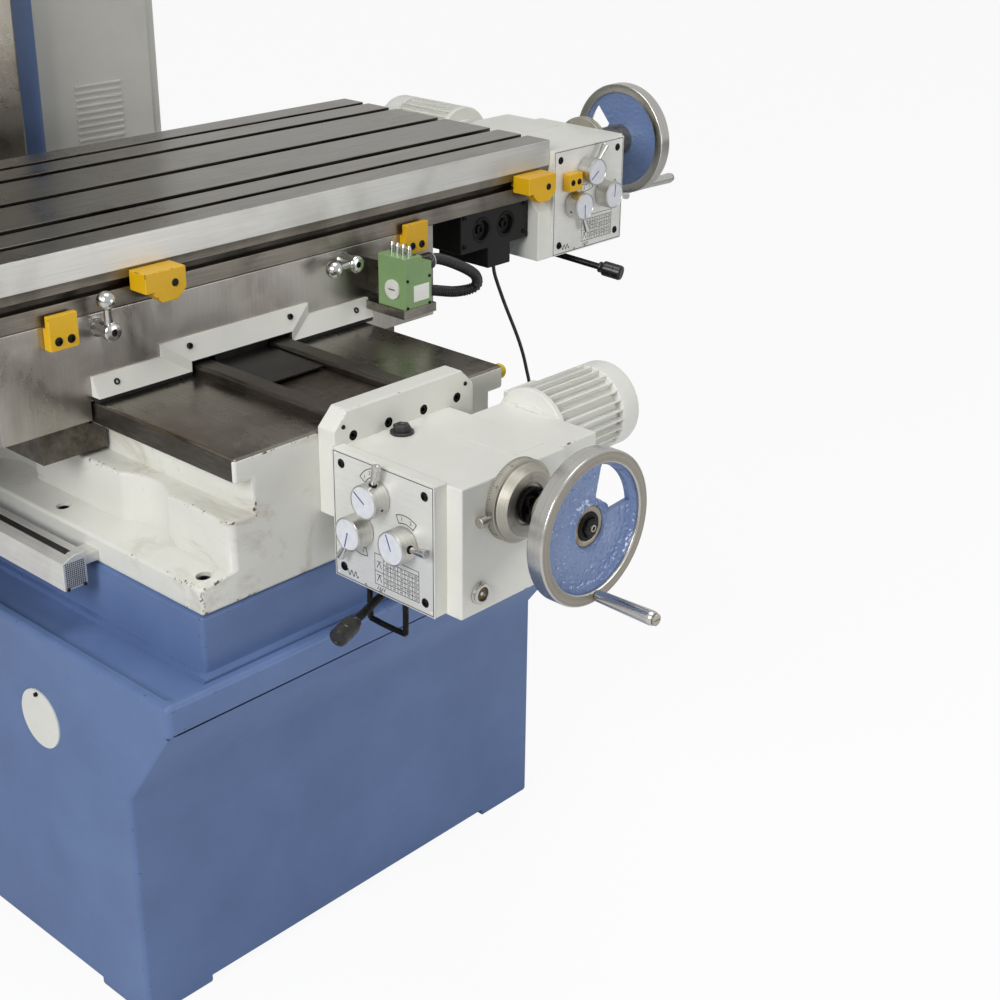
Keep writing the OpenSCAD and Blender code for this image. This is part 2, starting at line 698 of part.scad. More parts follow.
module saddle() {
    color("#7d7a76") difference() {
        union() {
            run_y(-saddle_front, saddle_front)
                polygon([
                    [-saddle_left, way_z - skirt], [-saddle_left, saddle_z],
                    [saddle_right, saddle_z], [saddle_right, way_z - skirt],
                    [bed_w / 2 + way_clear, way_z - skirt], [bed_w / 2 + way_clear, way_z + slide_gap],
                    [guide_w / 2 + slide_gap, way_z + slide_gap],
                    [guide_w / 2 + slide_gap, way_z + guide_h + way_clear],
                    [-guide_w / 2 - slide_gap, way_z + guide_h + way_clear],
                    [-guide_w / 2 - slide_gap, way_z + slide_gap],
                    [-bed_w / 2 - way_clear, way_z + slide_gap], [-bed_w / 2 - way_clear, way_z - skirt]
                ]);
            run_x(-saddle_left, saddle_right)
                polygon([
                    [-dove_half + dove_in, saddle_z - 1], [-dove_half, saddle_z + dove_h],
                    [dove_half, saddle_z + dove_h], [dove_half - dove_in, saddle_z - 1]
                ]);
            box(y_unit[0] - nut_half, y_unit[0] + nut_half, -nut_l / 2, nut_l / 2,
                y_unit[2] - nut_half, way_z + guide_h + way_clear + 1);
            box(-40, 40, x_screw_y - x_nut_half, x_screw_y + x_nut_half,
                saddle_z - 1, x_screw_z + x_nut_half);
        }
        rod_y(y_unit[0], -nut_l / 2 - 1, nut_l / 2 + 1, y_unit[2], screw_r + run_gap);
        rod_x(-41, 41, x_screw_y, x_screw_z, screw_r + run_gap);
        for (s = [-1, 1], y = keeper_screws_y)
            rod_z(s * (bed_w / 2 + keeper_screw), y, way_z - skirt - 1, way_z - 2, 5 + run_gap);
        for (l = lock_levers)
            rod_y(l[0], -saddle_front - 1, -saddle_front + 30, l[1], lock_r + run_gap);
        for (b = saddle_bolts)
            rod_y(b[0], -saddle_front - 1, -saddle_front + b[3] + 1, b[2], b[4] + run_gap);
    }
}

// Keepers under the way plates' overhang
keeper_l = 2 * saddle_front - 20;
keeper_screw = 40;
keeper_screws_y = [70 - saddle_front, 0, saddle_front - 70];

module keepers() {
    color("#4a4a48") for (s = [0, 1]) mirror([s, 0, 0]) {
        difference() {
            run_y(-keeper_l / 2, keeper_l / 2)
                polygon([
                    [wall_half + 5, way_z - way_t - 40], [bed_w / 2 + keeper_reach, way_z - way_t - 40],
                    [bed_w / 2 + keeper_reach, way_z - skirt], [bed_w / 2 + way_clear, way_z - skirt],
                    [bed_w / 2 + way_clear, way_z - way_t - slide_gap],
                    [wall_half + 5, way_z - way_t - slide_gap]
                ]);
            for (y = keeper_screws_y) {
                rod_z(bed_w / 2 + keeper_screw, y, way_z - way_t - 41, way_z - skirt + 1, 5.5);
                rod_z(bed_w / 2 + keeper_screw, y, way_z - way_t - 41, way_z - way_t - 30, 9);
            }
        }
    }
}

// Sliding cover over the screw's channel, in front of the saddle
cover_y0 = -saddle_front - 135;
cover_half = channel_half - 4;

module way_cover() {
    color("#2e2f31") {
        box(-cover_half, cover_half, cover_y0, -saddle_front - 12, way_z + guide_h - 8, way_z + guide_h - 5);
        box(-cover_half, cover_half, -saddle_front - 13, -saddle_front, way_z + guide_h - 8,
            way_z + guide_h + way_clear + 9);
    }
}

// Wipers: white holders round the ways with a rubber lip behind each
wiper_h = 31;
wiper_t = 9;
mid_x = [-132, 135];
mid_top = way_z + 53;

module wiper_outline(x0, x1, z0, z1) polygon([[x0, z0], [x0, z1], [x1, z1], [x1, z0]]);

module wiper_holder() {
    run_y(-saddle_front - wiper_t, -saddle_front) wiper_outline(-bed_w / 2 - 1, mid_x[0], way_z + 4,
        way_z + 4 + wiper_h);
    run_y(-saddle_front - wiper_t, -saddle_front) wiper_outline(mid_x[1], bed_w / 2 + 10, way_z + 4,
        way_z + 4 + wiper_h);
    difference() {
        run_y(-saddle_front - wiper_t - 14, -saddle_front)
            wiper_outline(mid_x[0], mid_x[1], way_z + 4, mid_top);
        box(-guide_w / 2 - 4, guide_w / 2 + 4, -saddle_front - wiper_t - 20, -saddle_front + 1,
            way_z, way_z + guide_h + 4);
        box(-cover_half - 1, cover_half + 1, -saddle_front - 14, -saddle_front + 1,
            way_z, way_z + guide_h + way_clear + 10);
        box(mid_x[0] + 8, mid_x[1] - 8, -saddle_front - 14, -saddle_front + 1,
            way_z + 3, way_z + wiper_h + 6);
    }
}

module wipers() {
    color("white") difference() {
        wiper_holder();
        for (b = saddle_bolts)
            rod_y(b[0], -saddle_front - wiper_t - 20, -saddle_front + 1, b[2], b[4] + 0.4);
    }
    color("#1a1a1a") {
        box(-bed_w / 2 - 1, mid_x[0] - 1, -saddle_front - wiper_t + 2, -saddle_front - 1,
            way_z + side_gap, way_z + 4);
        box(mid_x[1] + 1, bed_w / 2 + 10, -saddle_front - wiper_t + 2, -saddle_front - 1,
            way_z + side_gap, way_z + 4);
    }
}

stop_t = 15;
left_stop = [76 - saddle_left, 120 - saddle_left, saddle_z - 32, saddle_z + 15];
right_stop = [saddle_right - 74, saddle_right - 26, saddle_z - 32, saddle_z + 15];
mid_bolt_z = way_z + 43;
wiper_bolt_z = way_z + 20;
stop_bolt_z = saddle_z - 20;
// Screws of the saddle's front: x, y of the head's seat, z, depth in the saddle, radius
saddle_bolts = [
    [-212, -saddle_front - wiper_t, wiper_bolt_z, 12, 3],
    [-88, -saddle_front - wiper_t - 14, mid_bolt_z, 12, 3],
    [95, -saddle_front - wiper_t - 14, mid_bolt_z, 12, 3],
    [225, -saddle_front - wiper_t, wiper_bolt_z, 12, 3],
    [left_stop[0] + 13, -saddle_front - stop_t + 5, stop_bolt_z, 16, 3.5],
    [left_stop[0] + 32, -saddle_front - stop_t + 5, stop_bolt_z, 16, 3.5],
    [right_stop[0] + 14, -saddle_front - stop_t + 5, stop_bolt_z, 16, 3.5],
    [right_stop[0] + 34, -saddle_front - stop_t + 5, stop_bolt_z, 16, 3.5]
];

module saddle_screws() {
    color("#2b2b2b") {
        for (b = saddle_bolts)
            translate([b[0], b[1], b[2]]) rotate([90, 0, 0])
                cap_screw(b[4], b[3] - saddle_front - b[1]);
        for (s = [-1, 1], y = keeper_screws_y)
            translate([s * (bed_w / 2 + keeper_screw), y, way_z - way_t - 30]) rotate([180, 0, 0])
                cap_screw(5, 58);
    }
}

module travel_stops() {
    color("gold") difference() {
        for (s = [left_stop, right_stop])
            run_y(-saddle_front - stop_t, -saddle_front)
                polygon([
                    [s[0], s[2]], [s[0], s[3]], [s[1], s[3]], [s[1], s[2] + 3], [s[1] - 3, s[2]]
                ]);
        box(-bed_w, bed_w, -saddle_front - 6, -saddle_front + 1, saddle_z - 2, saddle_z + 20);
        for (i = [4:7]) {
            b = saddle_bolts[i];
            rod_y(b[0], -saddle_front - stop_t - 1, -saddle_front + 1, b[2], b[4] + 0.4);
            rod_y(b[0], -saddle_front - stop_t - 1, b[1], b[2], 1.5 * b[4] + 0.8);
        }
    }
}

// Lock levers: boss on a screw in the saddle, arm and ball
lock_r = 6;
lock_levers = [[-226, saddle_z - 20], [209, saddle_z - 18]];

module lock_lever(at, turn) {
    color("silver") translate([at[0], -saddle_front, at[1]]) {
        rod_y(0, -20, 28, 0, lock_r);
        translate([0, -side_gap, 0]) rotate([90, 0, 0]) rotate_extrude()
            polygon([[0, 0], [13, 0], [11, 8], [11, 22], [13, 26], [13, 34], [8, 36], [0, 36]]);
        rotate([0, turn, 0]) rotate([10, 0, 0]) translate([0, -24, 0]) {
            cylinder(r1 = 7, r2 = 5, h = 42);
            translate([0, 0, 50]) sphere(r = 13);
        }
    }
}

module lock_lever_left() lock_lever(lock_levers[0], -8);
module lock_lever_right() lock_lever(lock_levers[1], -88);

// Limit switch: stepped housing on a bracket, plungers on top, gland and conduit to the right

switch_x = [246, 302];
switch_y = [-saddle_front - 96, -saddle_front - 38];
switch_mid_y = -saddle_front - 70;
switch_z = [saddle_z - 84, saddle_z - 6];
plunger_x = switch_x[0] + 18;
plungers_y = [for (i = [0:3]) switch_y[0] + 9 + 12 * i];
plunger_r = 4;
gland_at = [-saddle_front - 54, saddle_z - 34];
port_boss = [-saddle_front - 26, saddle_z - 92];

module limit_switch() {
    color("#7fae62") difference() {
        union() {
            box(switch_x[0], switch_x[1], switch_y[0], switch_y[1], switch_z[0], switch_z[1] - 12);
            box(switch_x[0], switch_x[0] + 36, switch_y[0], switch_y[1], switch_z[0], switch_z[1]);
            box(switch_x[0] + 10, switch_x[1], switch_y[1] - 1, -saddle_front, switch_z[0] + 10, saddle_z - 22);
            rod_x(switch_x[0] - 3, switch_x[0] + 1, switch_mid_y, saddle_z - 56, 15);
        }
        for (y = plungers_y)
            rod_z(plunger_x, y, switch_z[1] - 16, switch_z[1] + 1, plunger_r + run_gap);
        rod_z(switch_x[0] + 28, switch_y[0] + 12, switch_z[1] - 6, switch_z[1] + 1, 6);
    }
    color("#5f605c") {
        box(switch_x[0] - 4, switch_x[1] + 8, switch_y[0] - 2, -saddle_front - 14,
            switch_z[0] - 14, switch_z[0]);
        box(switch_x[0] + 18, switch_x[1] + 8, -saddle_front - 15, -saddle_front,
            switch_z[0] - 14, switch_z[0]);
        rod_x(switch_x[1], switch_x[1] + 10, gland_at[0], gland_at[1], 15);
        difference() {
            rod_x(switch_x[1] + 9, switch_x[1] + 40, gland_at[0], gland_at[1], 12.5);
            rod_x(switch_x[1] + 24, switch_x[1] + 41, gland_at[0], gland_at[1], hose_r);
        }
        difference() {
            rod_x(switch_x[1] + 7, switch_x[1] + 40, port_boss[0], port_boss[1], 12.5);
            rod_x(switch_x[1] + 24, switch_x[1] + 41, port_boss[0], port_boss[1], hose_r);
        }
    }
}

module switch_plungers() {
    color("silver") for (y = plungers_y) {
        rod_z(plunger_x, y, switch_z[1] - 10, switch_z[1] + 12, plunger_r);
        translate([plunger_x, y, switch_z[1] + 12]) cylinder(r1 = plunger_r, r2 = 2, h = 5);
    }
}

// Corrugated conduit from the gland round to the bracket
hose_r = 9.2;
hose_inner = 6.5;
rib_n = 56;
hose_route = [
    [switch_x[1] + 24, gland_at[0], gland_at[1]],
    [switch_x[1] + 56, gland_at[0], gland_at[1] - 1],
    [switch_x[1] + 104, gland_at[0], gland_at[1] - 22],
    [switch_x[1] + 142, gland_at[0] + 2, gland_at[1] - 46],
    [switch_x[1] + 150, gland_at[0] + 10, gland_at[1] - 68],
    [switch_x[1] + 118, gland_at[0] + 22, gland_at[1] - 72],
    [switch_x[1] + 62, port_boss[0], port_boss[1] - 1],
    [switch_x[1] + 24, port_boss[0], port_boss[1]]
];

module switch_conduit() {
    path = smooth(hose_route, 16);
    m = len(path);
    step = (m - 1) / (2 * rib_n - 1);
    line = [for (i = [0:2 * rib_n - 1]) path[round(i * step)]];
    n = len(line);
    outer = [for (i = [0:n - 1]) (i % 2 == 0) ? hose_r - 0.2 : hose_r - 1.8];
    k = 8;
    pts = concat(
        [for (i = [0:n - 1]) each ring(line[i], direction(line, i), [0, 1, 0], outer[i], k)],
        [for (i = [0:n - 1]) each ring(line[i], direction(line, i), [0, 1, 0], hose_inner, k)]
    );
    b = n * k;
    faces = concat(
        [for (i = [0:n - 2], j = [0:k - 1]) each [
            [i * k + j, (i + 1) * k + j, (i + 1) * k + (j + 1) % k],
            [i * k + j, (i + 1) * k + (j + 1) % k, i * k + (j + 1) % k],
            [b + i * k + j, b + (i + 1) * k + (j + 1) % k, b + (i + 1) * k + j],
            [b + i * k + j, b + i * k + (j + 1) % k, b + (i + 1) * k + (j + 1) % k]
        ]],
        [for (j = [0:k - 1]) each [
            [j, (j + 1) % k, b + (j + 1) % k], [j, b + (j + 1) % k, b + j],
            [(n - 1) * k + j, b + (n - 1) * k + (j + 1) % k, (n - 1) * k + (j + 1) % k],
            [(n - 1) * k + j, b + (n - 1) * k + j, b + (n - 1) * k + (j + 1) % k]
        ]]
    );
    color("#1c1c1c") polyhedron(points = pts, faces = faces);
}

// Table with T-slots, drain channels, stop groove in front, dovetail and screw channel underneath

table_x0 = table_end - table_l;
table_bottom = saddle_z + slide_gap;
end_wall = 40;
slot_deep = 28;
slot_wide = 32;
slot_foot = 14;
drain_y = table_w / 2 - 55;
drain_w = 14;
drain_deep = 8;
groove_z = saddle_z + 25;
groove_h = 12;
groove_in = 14;
band = 42;
dove_gap = 1.15 * slide_gap;
dove_over = 3 * dove_in / (dove_h + 1);

module slot_outline(y) {
    translate([y - slot_w / 2, table_z - slot_deep]) square([slot_w, slot_deep + 1]);
    translate([y - slot_wide / 2, table_z - slot_deep]) square([slot_wide, slot_foot]);
}

module table() {
    color("#b9b4a8") difference() {
        run_x(table_x0, table_end) difference() {
            polygon([
                [-table_w / 2, table_bottom], [-table_w / 2, table_z - band],
                [-table_w / 2 - 2, table_z - band], [-table_w / 2 - 2, table_z],
                [table_w / 2 + 2, table_z], [table_w / 2 + 2, table_z - band],
                [table_w / 2, table_z - band], [table_w / 2, table_bottom]
            ]);
            for (i = [0:slot_n - 1]) slot_outline((i - (slot_n - 1) / 2) * slot_pitch);
            for (s = [-1, 1])
                translate([s * drain_y - drain_w / 2, table_z - drain_deep]) square([drain_w, drain_deep + 1]);
            translate([-table_w / 2 - 1, groove_z]) square([groove_in + 1, groove_h]);
            polygon([
                [dove_in - dove_half - dove_gap, saddle_z - 1],
                [-dove_half - dove_gap - dove_over, saddle_z + dove_h + 3],
                [dove_half + dove_gap + dove_over, saddle_z + dove_h + 3],
                [dove_half - dove_in + dove_gap, saddle_z - 1]
            ]);
        }
        box(table_x0 + end_wall, table_end + 1, x_screw_y - x_nut_half - 6, x_screw_y + x_nut_half + 6,
            saddle_z - 1, x_screw_z + x_nut_half + 2);
        rod_x(table_x0 - 1, table_x0 + end_wall + 1, x_screw_y, x_screw_z, journal_r + run_gap);
    }
}

// Trip dogs in the table's groove and the third stop on the end gearbox's panel
dogs_x = [-172, table_end - 88];
dog_l = 67;
dog_t = 36;
dog_z = [saddle_z + 19, saddle_z + 47];

module trip_dogs() {
    color("gold") {
        for (x = dogs_x) {
            box(x, x + dog_l, -table_w / 2 - dog_t, -table_w / 2, dog_z[0], dog_z[1]);
            box(x + 8, x + dog_l - 8, -table_w / 2 - 1, -table_w / 2 + groove_in - 2,
                groove_z + 1, groove_z + groove_h - 1);
            run_y(-table_w / 2 - dog_t, -table_w / 2 - dog_t + 19)
                polygon([
                    [x + 12, dog_z[0] + 1], [x + 12, dog_z[0] - 3], [x + 26, dog_z[0] - 16],
                    [x + 52, dog_z[0] - 16], [x + 66, dog_z[0] - 3], [x + 66, dog_z[0] + 1]
                ]);
        }
        box(table_end + 24, table_end + 58, x_unit[1] + panel_x - 15, x_unit[1] + panel_x,
            saddle_z + 4, saddle_z + 34);
    }
}

module x_screw()
    at_x_unit() feed_screw(table_l - end_wall - flange_t, table_l - flange_t);

module x_gearbox() color("#e8e8e2") at_x_unit() feed_housing([box_z, -30], []);

// Drive block under the table's end, beside the gearbox's flange
block_x0 = table_end - 196;
block_y = [15 - table_w / 2, 230 - table_w / 2];

module x_drive_block() {
    color("#202122") difference() {
        union() {
            box(block_x0, table_end - flange_t, block_y[0], block_y[1], saddle_z - 69, table_bottom);
            box(block_x0 + 65, block_x0 + 120, block_y[0], -120, saddle_z - 104, saddle_z - 68);
        }
        for (x = [block_x0 + 50, block_x0 + 108])
            rod_y(x, block_y[0] - 1, block_y[0] + 8, saddle_z - 36, 17);
    }
}

// Cable of the drive block, hanging in a loop to a clip under the saddle
cable_r = 3;
cable_route = [
    [566, -228, 835], [570, -229, 815], [590, -232, 765], [625, -235, 690], [645, -235, 636],
    [660, -232, 580], [655, -220, 520], [630, -190, 465], [590, -150, 445], [545, -115, 480],
    [510, -85, 560], [460, -50, 650], [412, -10, 720], [391, 0, 765], [387, 0, way_z - skirt - 1]
];

module x_cable() {
    path = smooth(cable_route, 5);
    color("#1a1a1a") swept(path, [for (p = path) cable_r], [0, 0.3, 1], 8);
}

// Column: box with a foot, guide plate and channel for the head's screw

guide_up = 275;
guide_z0 = base_top + guide_up;
guide_front = throat - 30;
guide_t = 15;
neck_half = rail_w / 2 - 20;
z_channel = 45;
z_channel_z = [guide_z0 + 30, column_top - 40];
z_screw_y = throat + 5;

module column() {
    color("#4c6ca8") difference() {
        union() {
            run_z(base_top, base_top + column_foot) translate([0, throat + column_d / 2])
                round_rect(2 * column_bolt_x + 80, column_d, 12);
            run_z(base_top, column_top) translate([0, throat + column_d / 2])
                round_rect(column_w, column_d, 12);
        }
        for (x = [-column_bolt_x, column_bolt_x], y = column_bolts_y) {
            rod_z(x, y, base_top - 1, base_top + column_foot + 1, bolt_r + 0.5);
            rod_z(x, y, base_top + column_foot - 2 * bolt_r - 1, base_top + column_foot + 1,
                1.5 * bolt_r + 1.5);
        }
        box(-z_channel, z_channel, guide_front - 1, throat + 40, z_channel_z[0], z_channel_z[1]);
        rod_z(0, z_screw_y, guide_z0 + 4, z_channel_z[0] + 1, journal_r + run_gap);
        rod_z(0, z_screw_y, z_channel_z[1] - 1, column_top + 1, journal_r + run_gap);
    }
    color("#a9a7a2") difference() {
        union() {
            box(-rail_w / 2, rail_w / 2, guide_front, guide_front + guide_t, guide_z0, column_top - 20);
            box(-neck_half, neck_half, guide_front + guide_t, throat, guide_z0, column_top - 20);
        }
        box(-z_channel, z_channel, guide_front - 1, throat + 40, z_channel_z[0], z_channel_z[1]);
        rod_z(0, z_screw_y, guide_z0 + 4, z_channel_z[0] + 1, journal_r + run_gap);
        rod_z(0, z_screw_y, z_channel_z[1] - 1, column_top + 1, journal_r + run_gap);
    }
}

module z_screw() {
    color("#8a8c8e") {
        rod_z(0, z_screw_y, z_channel_z[0] + side_gap, z_channel_z[1] - side_gap, screw_r);
        rod_z(0, z_screw_y, guide_z0 + 6, column_top - 1, journal_r);
    }
}

// Head feed motor on its gear housing, on top of the column
z_housing = 140;
z_housing_h = 40;
z_flange_h = 60;
z_body_h = 190;
z_motor_h = 225;

module z_motor() {
    y = z_screw_y + 5 + z_housing / 2;
    color("#eeeeea") {
        box(-z_housing / 2, z_housing / 2, z_screw_y + 5, z_screw_y + 5 + z_housing,
            column_top, column_top + z_housing_h);
        rod_z(0, y, column_top + z_housing_h - 1, column_top + z_flange_h, motor_d / 2);
        rod_z(0, y, column_top + z_flange_h - 1, column_top + z_body_h, motor_d / 2 - 7);
        rod_z(0, y, column_top + z_body_h - 1, column_top + z_motor_h, motor_d / 2 - 2);
    }
}

// Electrical cabinet on the column's right side, with a door on pins at the back edge
cabinet_w = 260;
cabinet_in = 40;
cabinet_deep = 320;
cabinet_up = 275;
cabinet_down = 330;
cabinet_x = [column_w / 2, column_w / 2 + cabinet_w];
cabinet_y = [throat + cabinet_in, throat + cabinet_in + cabinet_deep];
cabinet_z = [base_top + cabinet_up, column_top - cabinet_down];
hinge_at = [cabinet_x[1] + 9, cabinet_y[1] + 8];
hinge_z = [cabinet_z[0] + 100, cabinet_z[1] - 140];
hinge_r = 5;
door_t = 18;
door_handle_z = (cabinet_z[0] + cabinet_z[1]) / 2;

module cabinet() {
    color("#d9d8d2") box(cabinet_x[0], cabinet_x[1], cabinet_y[0], cabinet_y[1],
        cabinet_z[0], cabinet_z[1]);
    color("#6b6d6f") for (z = hinge_z) {
        for (s = [z - 40, z + 25])
            box(cabinet_x[1] - 16, hinge_at[0] + 9, cabinet_y[1], hinge_at[1] + 9, s, s + 15);
        rod_z(hinge_at[0], hinge_at[1], z - 26, z + 26, hinge_r);
    }
}

module cabinet_door() {
    color("#d9d8d2") {
        box(cabinet_x[1] + side_gap, cabinet_x[1] + side_gap + door_t, cabinet_y[0] + 5,
            cabinet_y[1] - 5, cabinet_z[0] + 5, cabinet_z[1] - 5);
        for (z = hinge_z) difference() {
            union() {
                rod_z(hinge_at[0], hinge_at[1], z - 25 + side_gap, z + 25 - side_gap, 9);
                box(hinge_at[0] - 8, hinge_at[0] + 8, cabinet_y[1] - 7, hinge_at[1],
                    z - 25 + side_gap, z + 25 - side_gap);
            }
            rod_z(hinge_at[0], hinge_at[1], z - 26, z + 26, hinge_r + run_gap);
        }
    }
    color("#2b2b2b") {
        box(cabinet_x[1] + side_gap + door_t, cabinet_x[1] + side_gap + door_t + 6,
            cabinet_y[0] + 30, cabinet_y[0] + 56, door_handle_z - 60, door_handle_z + 60);
        box(cabinet_x[1] + side_gap + door_t + 5, cabinet_x[1] + side_gap + door_t + 22,
            cabinet_y[0] + 36, cabinet_y[0] + 50, door_handle_z - 40, door_handle_z + 40);
    }
}

// Head: casting on the column's guide plate, spindle housing below and gibs behind the plate

housing_h = 58;
head_z0 = nose_z + housing_h;
head_z1 = head_z0 + head_h;
head_front = -190;
head_back = guide_front - slide_gap;
housing_r = 90;
spindle_r = 45;
nose_h = 20;
head_nut_z = [head_z0 + 170, head_z0 + 230];
gib_z = [head_z0 + 10, head_z1 - 10];

module head() {
    color("#e8e8e2") difference() {
        union() {
            run_x(-head_w / 2, head_w / 2)
                polygon([
                    [head_front + 60, head_z0], [head_front, head_z0 + 60],
                    [head_front, head_z1 - 25], [head_front + 25, head_z1], [head_back, head_z1],
                    [head_back, head_z0]
                ]);
            rod_z(0, 0, nose_z + nose_h + side_gap, head_z0 + 1, housing_r);
        }
        rod_z(0, 0, nose_z, head_z1 + 1, spindle_r + run_gap);
    }
    color("#8d8c88") for (s = [0, 1]) mirror([s, 0, 0])
        run_z(gib_z[0], gib_z[1])
            polygon([
                [rail_w / 2 + slide_gap, head_back], [head_w / 2, head_back],
                [head_w / 2, throat - 2], [neck_half + 2, throat - 2],
                [neck_half + 2, guide_front + guide_t + slide_gap],
                [rail_w / 2 + slide_gap, guide_front + guide_t + slide_gap]
            ]);
    color("#b08d3c") difference() {
        box(-z_channel + 5, z_channel - 5, head_back, z_screw_y + 24, head_nut_z[0], head_nut_z[1]);
        rod_z(0, z_screw_y, head_nut_z[0] - 1, head_nut_z[1] + 1, screw_r + run_gap);
    }
}

// Spindle: flanged nose with a 7:24 taper, four tapped holes and two driving keys
taper_r = 34.925;
taper_l = 102;
taper_end = taper_r - taper_l * 7 / 48;
nose_pcd = 101.6;

module spindle() {
    color("#9b9c9e") difference() {
        union() {
            rod_z(0, 0, nose_z, nose_z + nose_h, nose_d / 2);
            rod_z(0, 0, nose_z + nose_h - 1, head_z1 + 14, spindle_r);
            rod_z(0, 0, head_z1 + 13, head_z1 + 34, 26);
            for (s = [0, 180]) rotate([0, 0, s])
                box(taper_r + 2, taper_r + 22, -12.6, 12.6, nose_z - 8, nose_z + 1);
        }
        translate([0, 0, nose_z - 0.01]) cylinder(r1 = taper_r, r2 = taper_end, h = taper_l);
        rod_z(0, 0, nose_z + taper_l - 1, head_z1 + 35, 14);
        for (a = [45:90:315]) rotate([0, 0, a])
            rod_z(nose_pcd / 2, 0, nose_z - 1, nose_z + nose_h - 2, 7);
    }
}

// Spindle motor: flange, ribbed body, fan cowl and terminal box
spindle_motor_y = 250;
spindle_flange_t = 24;
spindle_body_l = 200;
spindle_motor_l = 260;

module spindle_motor() {
    y = spindle_motor_y;
    color("#eeeeea") {
        rod_z(0, y, head_z1, head_z1 + spindle_flange_t, spindle_motor_d / 2 + 10);
        rod_z(0, y, head_z1 + spindle_flange_t - 1, head_z1 + spindle_body_l, spindle_motor_d / 2 - 10);
        for (i = [0:31])
            translate([0, y, 0]) rotate([0, 0, 360 / 32 * i])
                box(spindle_motor_d / 2 - 14, spindle_motor_d / 2, -1.5, 1.5,
                    head_z1 + spindle_flange_t - 1, head_z1 + spindle_body_l + 1);
        rod_z(0, y, head_z1 + spindle_body_l, head_z1 + spindle_motor_l, spindle_motor_d / 2);
        box(spindle_motor_d / 2 - 14, spindle_motor_d / 2 + 40, y - 60, y + 60, head_z1 + 50, head_z1 + 150);
    }
}

// Control box on the head's front with three push buttons
control_x = 110;
control_y = head_front - 55;
control_z = [head_z0 + 210, head_z0 + 330];
stem_r = 8;
buttons_x = [-65, 5, 65];
buttons_z = (control_z[0] + control_z[1]) / 2;

module control_box() {
    color("#3c3f42") difference() {
        box(-control_x, control_x, control_y, head_front, control_z[0], control_z[1]);
        for (x = buttons_x)
            rod_y(x, control_y - 1, control_y + 31, buttons_z, stem_r + run_gap);
    }
}

module push_button(x, r, gap, cap) {
    translate([x, control_y, buttons_z]) rotate([90, 0, 0]) {
        translate([0, 0, -22]) cylinder(r = stem_r, h = 22 + gap + 1);
        translate([0, 0, gap]) cylinder(r = r, h = cap - 2);
        translate([0, 0, gap + cap - 2]) cylinder(r1 = r, r2 = r - 2, h = 2);
    }
}

module emergency_stop() color("#c8201c") push_button(buttons_x[0], 20, 8, 14);
module start_button() color("#2f8f4e") push_button(buttons_x[1], 14, 5, 8);
module stop_button() color("#1f1f1f") push_button(buttons_x[2], 14, 5, 8);

base();
port_cover();
bed();
way_plug();
cap_screws();
dro_scale();
y_screw();
y_gearbox();
y_panel();
y_sight_glass();
y_oil_plug();
y_motor();
y_knob_1();
y_knob_2();
y_knob_3();
y_feed_lever();
y_dial();
y_handwheel();
y_handle();
saddle();
keepers();
way_cover();
wipers();
saddle_screws();
travel_stops();
lock_lever_left();
lock_lever_right();
limit_switch();
switch_plungers();
switch_conduit();
dro_reader();
table();
trip_dogs();
x_screw();
x_gearbox();
x_drive_block();
x_panel();
x_knob_1();
x_knob_2();
x_knob_3();
x_feed_lever();
x_dial();
x_handwheel();
x_handle();
x_motor();
x_cable();
column();
cabinet();
cabinet_door();
z_motor();
z_screw();
head();
spindle();
spindle_motor();
control_box();
emergency_stop();
start_button();
stop_button();
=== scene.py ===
import json
import math
import bmesh
import bpy
from mathutils import Matrix, Vector
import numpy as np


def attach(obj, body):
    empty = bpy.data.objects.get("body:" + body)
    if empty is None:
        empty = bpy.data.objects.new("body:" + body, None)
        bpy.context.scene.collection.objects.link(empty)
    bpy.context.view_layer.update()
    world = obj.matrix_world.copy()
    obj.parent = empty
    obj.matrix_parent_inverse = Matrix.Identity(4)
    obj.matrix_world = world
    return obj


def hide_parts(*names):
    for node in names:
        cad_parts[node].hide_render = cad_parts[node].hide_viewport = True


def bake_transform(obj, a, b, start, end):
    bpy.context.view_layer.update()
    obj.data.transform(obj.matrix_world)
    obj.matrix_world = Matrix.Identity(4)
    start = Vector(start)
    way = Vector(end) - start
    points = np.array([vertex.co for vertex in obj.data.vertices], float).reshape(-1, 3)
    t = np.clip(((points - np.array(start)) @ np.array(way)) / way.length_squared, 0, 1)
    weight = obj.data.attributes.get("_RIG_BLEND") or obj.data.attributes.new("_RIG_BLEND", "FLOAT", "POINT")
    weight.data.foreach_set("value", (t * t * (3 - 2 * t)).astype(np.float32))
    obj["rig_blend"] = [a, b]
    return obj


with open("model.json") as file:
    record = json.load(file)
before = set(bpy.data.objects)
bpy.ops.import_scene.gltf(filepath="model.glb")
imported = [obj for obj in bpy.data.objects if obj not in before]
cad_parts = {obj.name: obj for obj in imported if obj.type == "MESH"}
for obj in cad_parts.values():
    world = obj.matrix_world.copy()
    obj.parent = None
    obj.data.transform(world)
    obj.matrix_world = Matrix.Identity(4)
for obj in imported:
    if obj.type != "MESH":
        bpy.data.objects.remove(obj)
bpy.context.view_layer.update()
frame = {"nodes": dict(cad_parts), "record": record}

# Camera: it stands off the machine's front left corner, a little above the table, and looks down at
# the cross feed unit. The picture leans by a good half degree.


def placed(name, data):
    """An object of the scene that holds the data."""
    thing = bpy.data.objects.new(name, data)
    bpy.context.scene.collection.objects.link(thing)
    return thing


